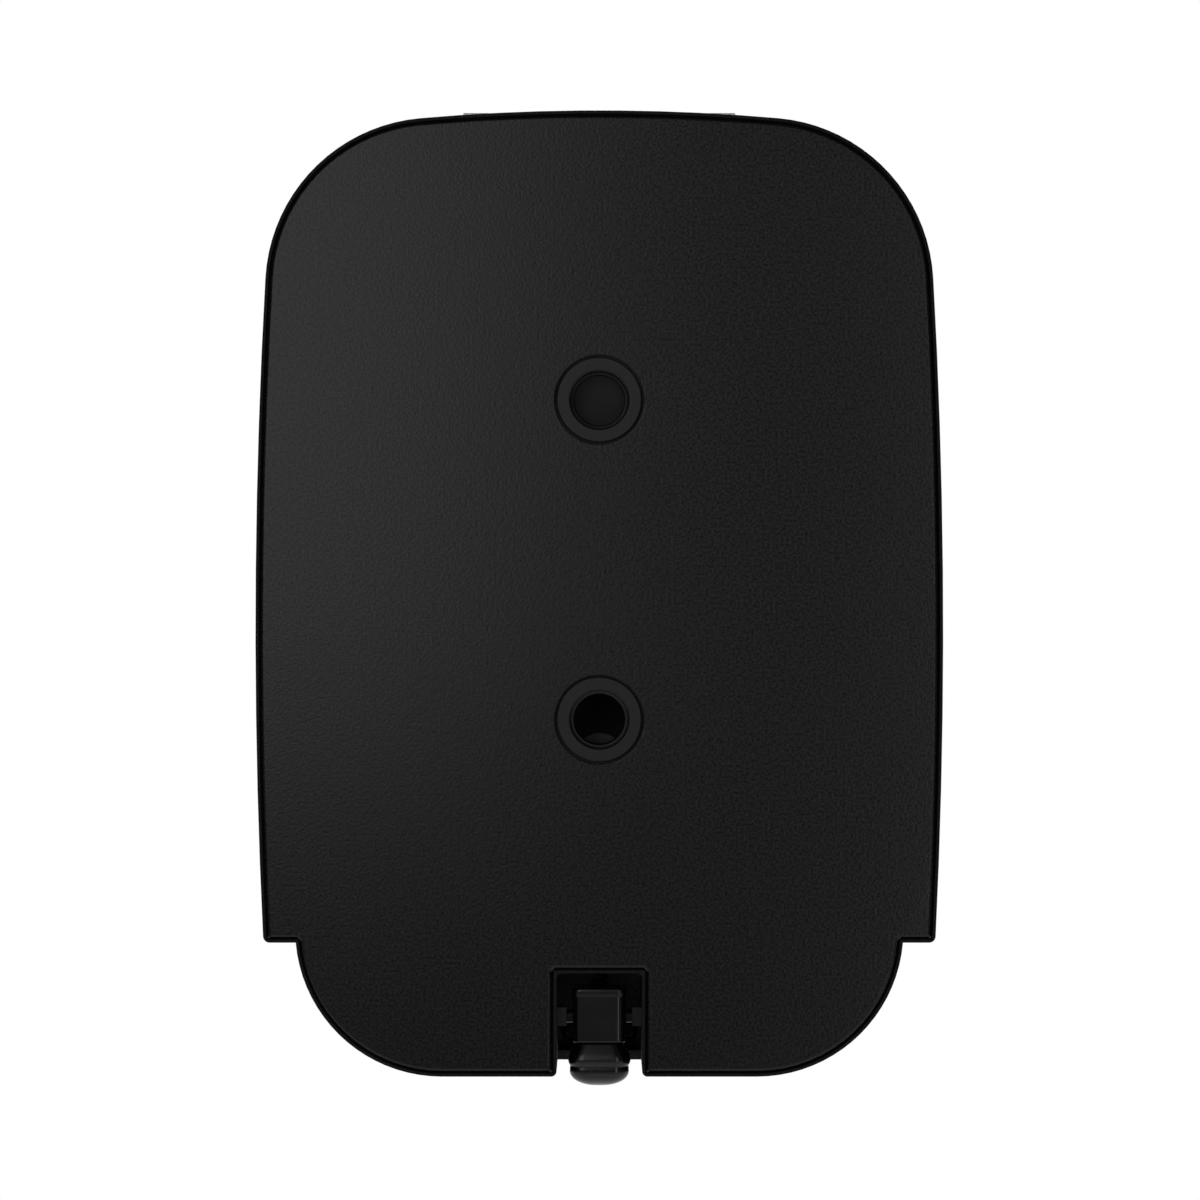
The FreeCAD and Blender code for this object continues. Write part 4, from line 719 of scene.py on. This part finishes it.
# The capacitors: aluminium cans with a rolled groove, in blue sleeves that leave the top bare.
sleeve = Finish("capacitor_sleeve", {"Specular IOR Level": 0.5})
bare_top = 0.0012
bare = 1 - (sleeve.axis("Y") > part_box("driver_capacitor_1")[0].y + bare_top)
scuffs = sleeve.noise(700.0, 3.0)
blue_sleeve = sleeve.between((0.012, 0.016, 0.05, 1), (0.02, 0.026, 0.07, 1), scuffs)
bare_can = sleeve.between((0.55, 0.55, 0.56, 1), (0.7, 0.7, 0.71, 1), scuffs)
capacitor_finish = sleeve.feed(
    Base_Color=sleeve.between(blue_sleeve, bare_can, bare),
    Metallic=bare,
    Roughness=scuffs * 0.15 + 0.26)
can_radius, can_groove, can_steps = 6.0, 0.45, 40
for number in (1, 2):
    node = f"driver_capacitor_{number}"
    box = box_of(node)
    foot, crest = box[1]
    can = Moulding()
    can.turned([(can_radius - 0.5, foot), (can_radius, foot + 0.5), (can_radius, foot + 1.2),
                (can_radius - can_groove, foot + 1.7), (can_radius, foot + 2.2),
                (can_radius, crest - 0.7), (can_radius - 0.25, crest - 0.2),
                (can_radius - 0.8, crest), (can_radius - 1.3, crest),
                (can_radius - 1.5, crest - 0.25), (1.0, crest - 0.25)], middle_of(box), can_steps)
    can.piece(f"capacitor_can_{number}", "housing", capacitor_finish, "capacitor_sleeve",
              [node], 28)

# The heatsink: bare aluminium with the die's lines running up it.
aluminium = Finish("extruded_aluminium", {"Metallic": 1.0})
drawn = aluminium.node("ShaderNodeMapping", {}, {
    "Vector": aluminium.place(), "Scale": (6000.0, 6000.0, 120.0)})
die_lines = aluminium.noise(1.0, 3.0, drawn)
finish_nodes(aluminium.feed(
    Base_Color=aluminium.between((0.56, 0.57, 0.58, 1), (0.75, 0.75, 0.76, 1), die_lines),
    Roughness=die_lines * 0.25 + 0.25,
    Normal=aluminium.bump(die_lines, 0.00002, 0.6, aluminium.rounded(0.0003))), "driver_heatsink")

# ---------------------------------------------------------------- terminals
# An eight-way grey terminal block moulded in glass-filled nylon, and beside it a brass earth
# stud with a hexagon nut, pressed into the cover.
terminal_grey = moulded_plastic(
    "terminal_nylon", (0.17, 0.175, 0.18), (0.23, 0.235, 0.24),
    grain_size=0.0004, grain_depth=0.00003, roughness=0.48, edge_radius=0.0004)
finish_nodes(terminal_grey, "terminal_block")
brass = Finish("brass", {"Metallic": 1.0})
tarnish = brass.noise(350.0, 4.0)
brass_finish = brass.feed(
    Base_Color=brass.between((0.42, 0.28, 0.09, 1), (0.66, 0.47, 0.18, 1), tarnish),
    Roughness=tarnish * 0.25 + 0.18,
    Normal=brass.bump(brass.noise(3000.0), 0.00001, 0.5))
stud_box = box_of("earth_stud")
stud_spot = middle_of(stud_box)
stud_foot, stud_end = stud_box[1]
stud_radius, nut_across, nut_rear, nut_front = 2.5, 4.0, 5.0, 9.0
collar_reach, collar_height, collar_bevel = 2.5, 2.0, 0.3
stud_pitch, stud_thread_depth, stud_thread_start, stud_lead = 0.8, 0.35, 2.2, 1.4
nut_bevel, nut_chamfer = 0.45, 0.4
stud = Moulding()
stations = [(stud_radius + 2.2, stud_foot), (stud_radius + collar_reach, stud_foot + collar_bevel),
            (stud_radius + collar_reach, stud_foot + 1.8),
            (stud_radius + 2.2, stud_foot + collar_height),
            (stud_radius, stud_foot + collar_height)]
depth = stud_foot + stud_thread_start
while depth < stud_end - stud_lead:
    if not nut_rear - stud_pitch < depth - stud_foot < nut_front:
        stations += [(stud_radius - stud_thread_depth, depth), (stud_radius, depth + 0.3),
                     (stud_radius, depth + 0.5)]
    depth += stud_pitch
stations += [(stud_radius - 0.3, stud_end - 0.4), (stud_radius - 0.7, stud_end)]
stud.turned(stations, stud_spot, 32)


def hexagon(turn):
    """A hexagon's reach at each turn, as a share of its corners' reach."""
    return math.cos(math.pi / 6) / math.cos(turn % (math.pi / 3) - math.pi / 6)


nut_stations = [(stud_radius, stud_foot + nut_rear), (nut_across, stud_foot + nut_rear),
                (nut_across + nut_bevel, stud_foot + nut_rear + nut_chamfer),
                (nut_across + nut_bevel, stud_foot + nut_front - nut_chamfer),
                (nut_across, stud_foot + nut_front), (stud_radius, stud_foot + nut_front)]
stud.turned(nut_stations, stud_spot, 48, closed=True, shapes={2: hexagon, 3: hexagon})
stud.piece("earth_stud_and_nut", "housing", brass_finish, "brass_stud", ["earth_stud"], 25)

# ---------------------------------------------------------------- aspects
# Each light has a clear acrylic lens, domed outside and cut into fine rings inside. Behind it lie
# a black mask with the figure cut out of it, a coloured diffuser and a white chamber of LEDs.
acrylic = Finish("lens_acrylic", {"Transmission Weight": 1.0, "IOR": 1.49})
haze = acrylic.noise(40.0, 4.0)
acrylic_finish = acrylic.feed(
    Base_Color=acrylic.between((0.80, 0.80, 0.79, 1), (0.93, 0.93, 0.92, 1), haze),
    Roughness=haze * 0.05 + 0.02)
lens_rear, lens_shoulder, lens_edge, lens_crown = 62.5, 65.5, 69.5, 73.0
lens_radius, clear_radius = 57.0, 51.5
lens_bevel, lens_steps, lens_centre, dome_steps = 0.3, 96, 0.5, 10
ring_pitch, ring_depth, ring_lead = 2.5, 0.35, 0.05
dome_rise = lens_crown - lens_edge
dome_radius = (clear_radius ** 2 + dome_rise ** 2) / 2 / dome_rise
led_radius, led_body, led_foot, led_top, led_steps = 2.5, 2.2, 35.1, 38.1, 20
led_plastic = Finish("led_lens", {"Transmission Weight": 0.6, "IOR": 1.5})
led_glow = led_plastic.noise(500.0)
led_finish = led_plastic.feed(
    Base_Color=led_plastic.between((0.75, 0.74, 0.70, 1), (0.9, 0.9, 0.87, 1), led_glow),
    Roughness=led_glow * 0.15 + 0.08)
for colour in ("red", "green"):
    middle = (0, middle_of(box_of(colour + "_lens"))[1])
    stations = [(lens_centre, lens_crown)]
    for step in range(1, dome_steps):
        reach = step * clear_radius / dome_steps
        stations.append((reach, lens_crown - dome_radius
                         + math.sqrt(dome_radius ** 2 - reach ** 2)))
    stations += [(clear_radius - 0.4, lens_edge), (clear_radius, lens_edge - 0.4),
                 (clear_radius, lens_shoulder), (lens_radius - lens_bevel, lens_shoulder),
                 (lens_radius, lens_shoulder - lens_bevel), (lens_radius, lens_rear)]
    for ring in reversed(range(1, int(clear_radius / ring_pitch))):
        stations += [(ring * ring_pitch + ring_pitch * ring_lead, lens_rear),
                     (ring * ring_pitch, lens_rear + ring_depth)]
    stations.append((lens_centre, lens_rear))
    lens = Moulding()
    lens.turned(stations, middle, lens_steps)
    lens.piece(colour + "_lens_domed", "door", acrylic_finish, "lens_clear",
               [colour + "_lens"], 20)
    leds = Moulding()
    for box in solids_of(colour + "_leds"):
        leds.turned([(led_radius, led_foot), (led_radius, led_foot + 0.5),
                     (led_body, led_foot + 0.6), (led_body, led_top - 1.3),
                     (led_body * 0.87, led_top - 0.65),
                     (led_body * 0.5, led_top - 0.15), (0.2, led_top)], middle_of(box), led_steps)
    leds.piece(colour + "_led_lamps", "door", led_finish, "led_clear", [colour + "_leds"], 40)

film = Finish("mask_film", {"Specular IOR Level": 0.3})
print_grain = film.noise(1500.0, 3.0)
finish_nodes(film.feed(
    Base_Color=film.between((0.004, 0.004, 0.004, 1), (0.012, 0.012, 0.012, 1), print_grain),
    Roughness=print_grain * 0.15 + 0.6), "red_mask", "green_mask")


def diffuser(name, dim, bright, glow, strength):
    """Coloured opal acrylic; when lit it glows more over each LED."""
    made = Finish(name, {"Specular IOR Level": 0.5, "Emission Strength": strength})
    clouds = made.noise(30.0, 3.0)
    spots = made.node("ShaderNodeTexVoronoi", {"distance": "EUCLIDEAN"},
                      {"Vector": made.place(), "Scale": 75.0}, "Distance")
    between_leds = tuple(0.35 * part for part in glow[:3]) + (1,)
    return made.feed(
        Base_Color=made.between(dim, bright, clouds),
        Emission_Color=made.between(glow, between_leds, spots.clamp()),
        Roughness=clouds * 0.1 + 0.35)


finish_nodes(diffuser("red_opal", (0.32, 0.012, 0.008, 1), (0.45, 0.02, 0.012, 1),
                      (1.0, 0.045, 0.02, 1), strength=1.5), "red_diffuser")
finish_nodes(diffuser("green_opal", (0.01, 0.20, 0.11, 1), (0.015, 0.30, 0.16, 1),
                      (0.02, 0.5, 0.3, 1), strength=0.05), "green_diffuser")

# The chambers are white inside; their backs are painted near-black, a painted shade for the dark
# inside of the housing.
painted_shade_depth = 0.0005
reflector = moulded_plastic(
    "reflector_white", (0.74, 0.74, 0.72), (0.84, 0.84, 0.83),
    grain_size=0.0004, grain_depth=0.00001, roughness=0.3, edge_radius=0.0003,
    painted_shade_from_y=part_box("green_chamber")[1].y - painted_shade_depth)
finish_nodes(reflector, "red_chamber", "green_chamber")
# The rings that clamp the lenses are steel, with the mounting plate's black coat.
finish_nodes(plate_coat.material, "red_clamp", "green_clamp")

# ---------------------------------------------------------------- latch
# A glossy black lever, moulded in acetal, that turns on a steel pin in the recess at the foot of
# the case. A thumb cap is pushed onto its stem, and its arm reaches forward to a tooth.
gloss = Finish("gloss_acetal", {"IOR": 1.5, "Specular IOR Level": 0.55})
gloss_wear = gloss.noise(120.0, 4.0)
gloss_marks = gloss.noise(900.0, 2.0)
gloss_finish = gloss.feed(
    Base_Color=gloss.between((0.0015, 0.0015, 0.0016, 1), (0.004, 0.004, 0.0042, 1), gloss_wear),
    Roughness=gloss_wear * 0.10 + gloss_marks * 0.06 + 0.13,
    Normal=gloss.bump(gloss_marks, 0.00001, 0.4))


def section(half, rear, front, radius, up, steps=6):
    """A rounded rectangle at one height: half its width, its two depths, its corners' radius."""
    radius = min(radius, half * 0.98, (front - rear) * 0.49)
    points = []
    for across, depth, start in (
            (half - radius, front - radius, 0), (radius - half, front - radius, 1),
            (radius - half, rear + radius, 2), (half - radius, rear + radius, 3)):
        for step in range(steps + 1):
            turn = math.pi / 2 * (start + step / steps)
            points.append(at(across + radius * math.cos(turn),
                             depth + radius * math.sin(turn), up))
    return points


def lofted(moulding, sections):
    """A solid through those sections, closed at both ends."""
    loops = [moulding.loop(points) for points in sections]
    moulding.wall(*loops)
    moulding.lid(loops[0])
    moulding.lid(loops[-1])


lever_half, lever_rear, lever_front, lever_corner = 8.3, 4.0, 20.0, 2.7
lever_top, lever_foot, shoulder_height = -128.9, -145.6, -131.5
stem_half, stem_rear, stem_front, stem_corner, stem_foot = 6.6, 6.0, 17.0, 3.4, -153.0
block_stations = [(lever_top, 0.9), (lever_top - 0.12, 0.5), (lever_top - 0.4, 0.18),
                  (lever_top - 0.8, 0.0), (shoulder_height + 0.15, 0.0),
                  (shoulder_height - 0.15, 0.3), (lever_foot + 0.7, 0.3),
                  (lever_foot + 0.25, 0.5), (lever_foot, 1.0)]
stem_stations = [(lever_foot, 0.0), (-148.6, -0.15), (-150.2, 0.3), (stem_foot, 0.8)]
lever = Moulding()
lofted(lever, [section(lever_half - shrink, lever_rear + shrink, lever_front - shrink,
                       lever_corner, up) for up, shrink in block_stations]
       + [section(stem_half + flare, stem_rear, stem_front, stem_corner, up)
          for up, flare in stem_stations])
arm_half, arm_low, arm_high, arm_start, arm_end = 3.5, -139.5, -134.5, 18.0, 63.2
tooth_rear, tooth_foot, tooth_root, tooth_taper, tooth_bevel = 60.6, -143.0, 1.5, 1.2, 0.9
arm_corner, arm_bevel, lever_sharp = 0.5, 0.3, 50
arm = Moulding()
lofted(arm, [section(arm_half - shrink, arm_start, arm_end - shrink, arm_corner, up)
             for up, shrink in ((arm_high, arm_bevel), (arm_high - arm_bevel, 0.0),
                                (arm_low + arm_bevel, 0.0), (arm_low, arm_bevel))])
tooth = Moulding()
lofted(tooth, [section(arm_half - shrink, tooth_rear, arm_end - shrink, arm_corner, up)
               for up, shrink in ((arm_low + tooth_root, 0.0), (tooth_foot + tooth_taper, 0.0),
                                  (tooth_foot, tooth_bevel))])
lever_piece = lever.piece("lever_moulding", "latch", gloss_finish, "gloss_black",
                          ["latch_lever"], lever_sharp)
for name, part in (("arm", arm), ("tooth", tooth)):
    joined = lever_piece.modifiers.new(name, "BOOLEAN")
    joined.operation = "UNION"
    joined.object = part.piece(name + "_blank", "latch", gloss_finish, "gloss_black")
solid = bpy.data.meshes.new_from_object(
    lever_piece.evaluated_get(bpy.context.evaluated_depsgraph_get()))
for name in ("arm", "tooth"):
    blank = lever_piece.modifiers[name].object
    lever_piece.modifiers.remove(lever_piece.modifiers[name])
    bpy.data.objects.remove(blank)
solid.set_sharp_from_angle(angle=math.radians(lever_sharp))
lever_piece.data = solid

# The cap: a soft-edged collar over the stem, a faint groove, and a rounded glossy thumb pad.
cap_middle, cap_reach, cap_half, cap_corner_share, cap_corner_steps = 11.0, 8.0, 9.4, 0.5, 8
pad_top, pad_half, pad_drop, pad_steps, pad_fullness = -154.2, 8.88, 4.5, 12, 0.92
cap_stations = [(-145.75, 6.6), (-145.85, 7.0), (-146.1, 7.25), (-147.4, 7.9), (-148.8, 8.75),
                (-150.0, 9.3), (-150.9, cap_half), (-151.8, 9.15), (-152.3, 8.88),
                (-152.65, 8.74), (-153.0, 8.78), (-153.5, 8.88), (pad_top, pad_half)]
for step in range(1, pad_steps):
    turn = math.pi / 2 * step / pad_steps
    cap_stations.append((pad_top - pad_drop * math.sin(turn),
                         pad_half * math.cos(turn) ** pad_fullness))
cap = Moulding()
lofted(cap, [section(half, cap_middle - cap_reach * half / cap_half,
                     cap_middle + cap_reach * half / cap_half,
                     cap_corner_share * half, up, cap_corner_steps) for up, half in cap_stations])
cap.piece("thumb_cap_moulding", "latch", gloss_finish, "gloss_black", ["thumb_cap"], 60)

# The return spring is wire coiled between the lever's arm and the roof of the recess, coloured
# near-black with the painted shade of the recess.
spring_low, spring_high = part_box("latch_spring")
wire_radius, coil_turns, steps_a_turn, wire_sides = 0.00035, 5, 24, 8
coil_radius = (spring_high.x - spring_low.x) / 2 - wire_radius
coil_middle = (spring_low + spring_high) / 2
coil_foot, coil_head = spring_low.z + wire_radius, spring_high.z - wire_radius
climb = (coil_head - coil_foot) / (2 * math.pi * coil_turns)
coil = Moulding()
coil_loops = []
for step in range(coil_turns * steps_a_turn + 1):
    turn = 2 * math.pi * step / steps_a_turn
    outward = Vector((math.cos(turn), math.sin(turn), 0))
    along = Vector((-coil_radius * outward.y, coil_radius * outward.x, climb)).normalized()
    across = along.cross(outward)
    middle = (Vector((coil_middle.x, coil_middle.y, coil_foot + climb * turn))
              + outward * coil_radius)
    coil_loops.append(coil.loop([
        middle + (outward * math.cos(side) + across * math.sin(side)) * wire_radius
        for side in (2 * math.pi * index / wire_sides for index in range(wire_sides))]))
coil.wall(*coil_loops)
coil.lid(coil_loops[0])
coil.lid(coil_loops[-1])
coil_piece = coil.piece("latch_spring_coil", None, painted_shade_zinc_finish, "zinc_steel",
                        ["latch_spring"], 60)
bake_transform(coil_piece)

# The bearing blocks that hold the pin are moulded with the case, and left as they came.
finish_nodes(bushing_plastic, "latch_bearing_right", "latch_bearing_left")
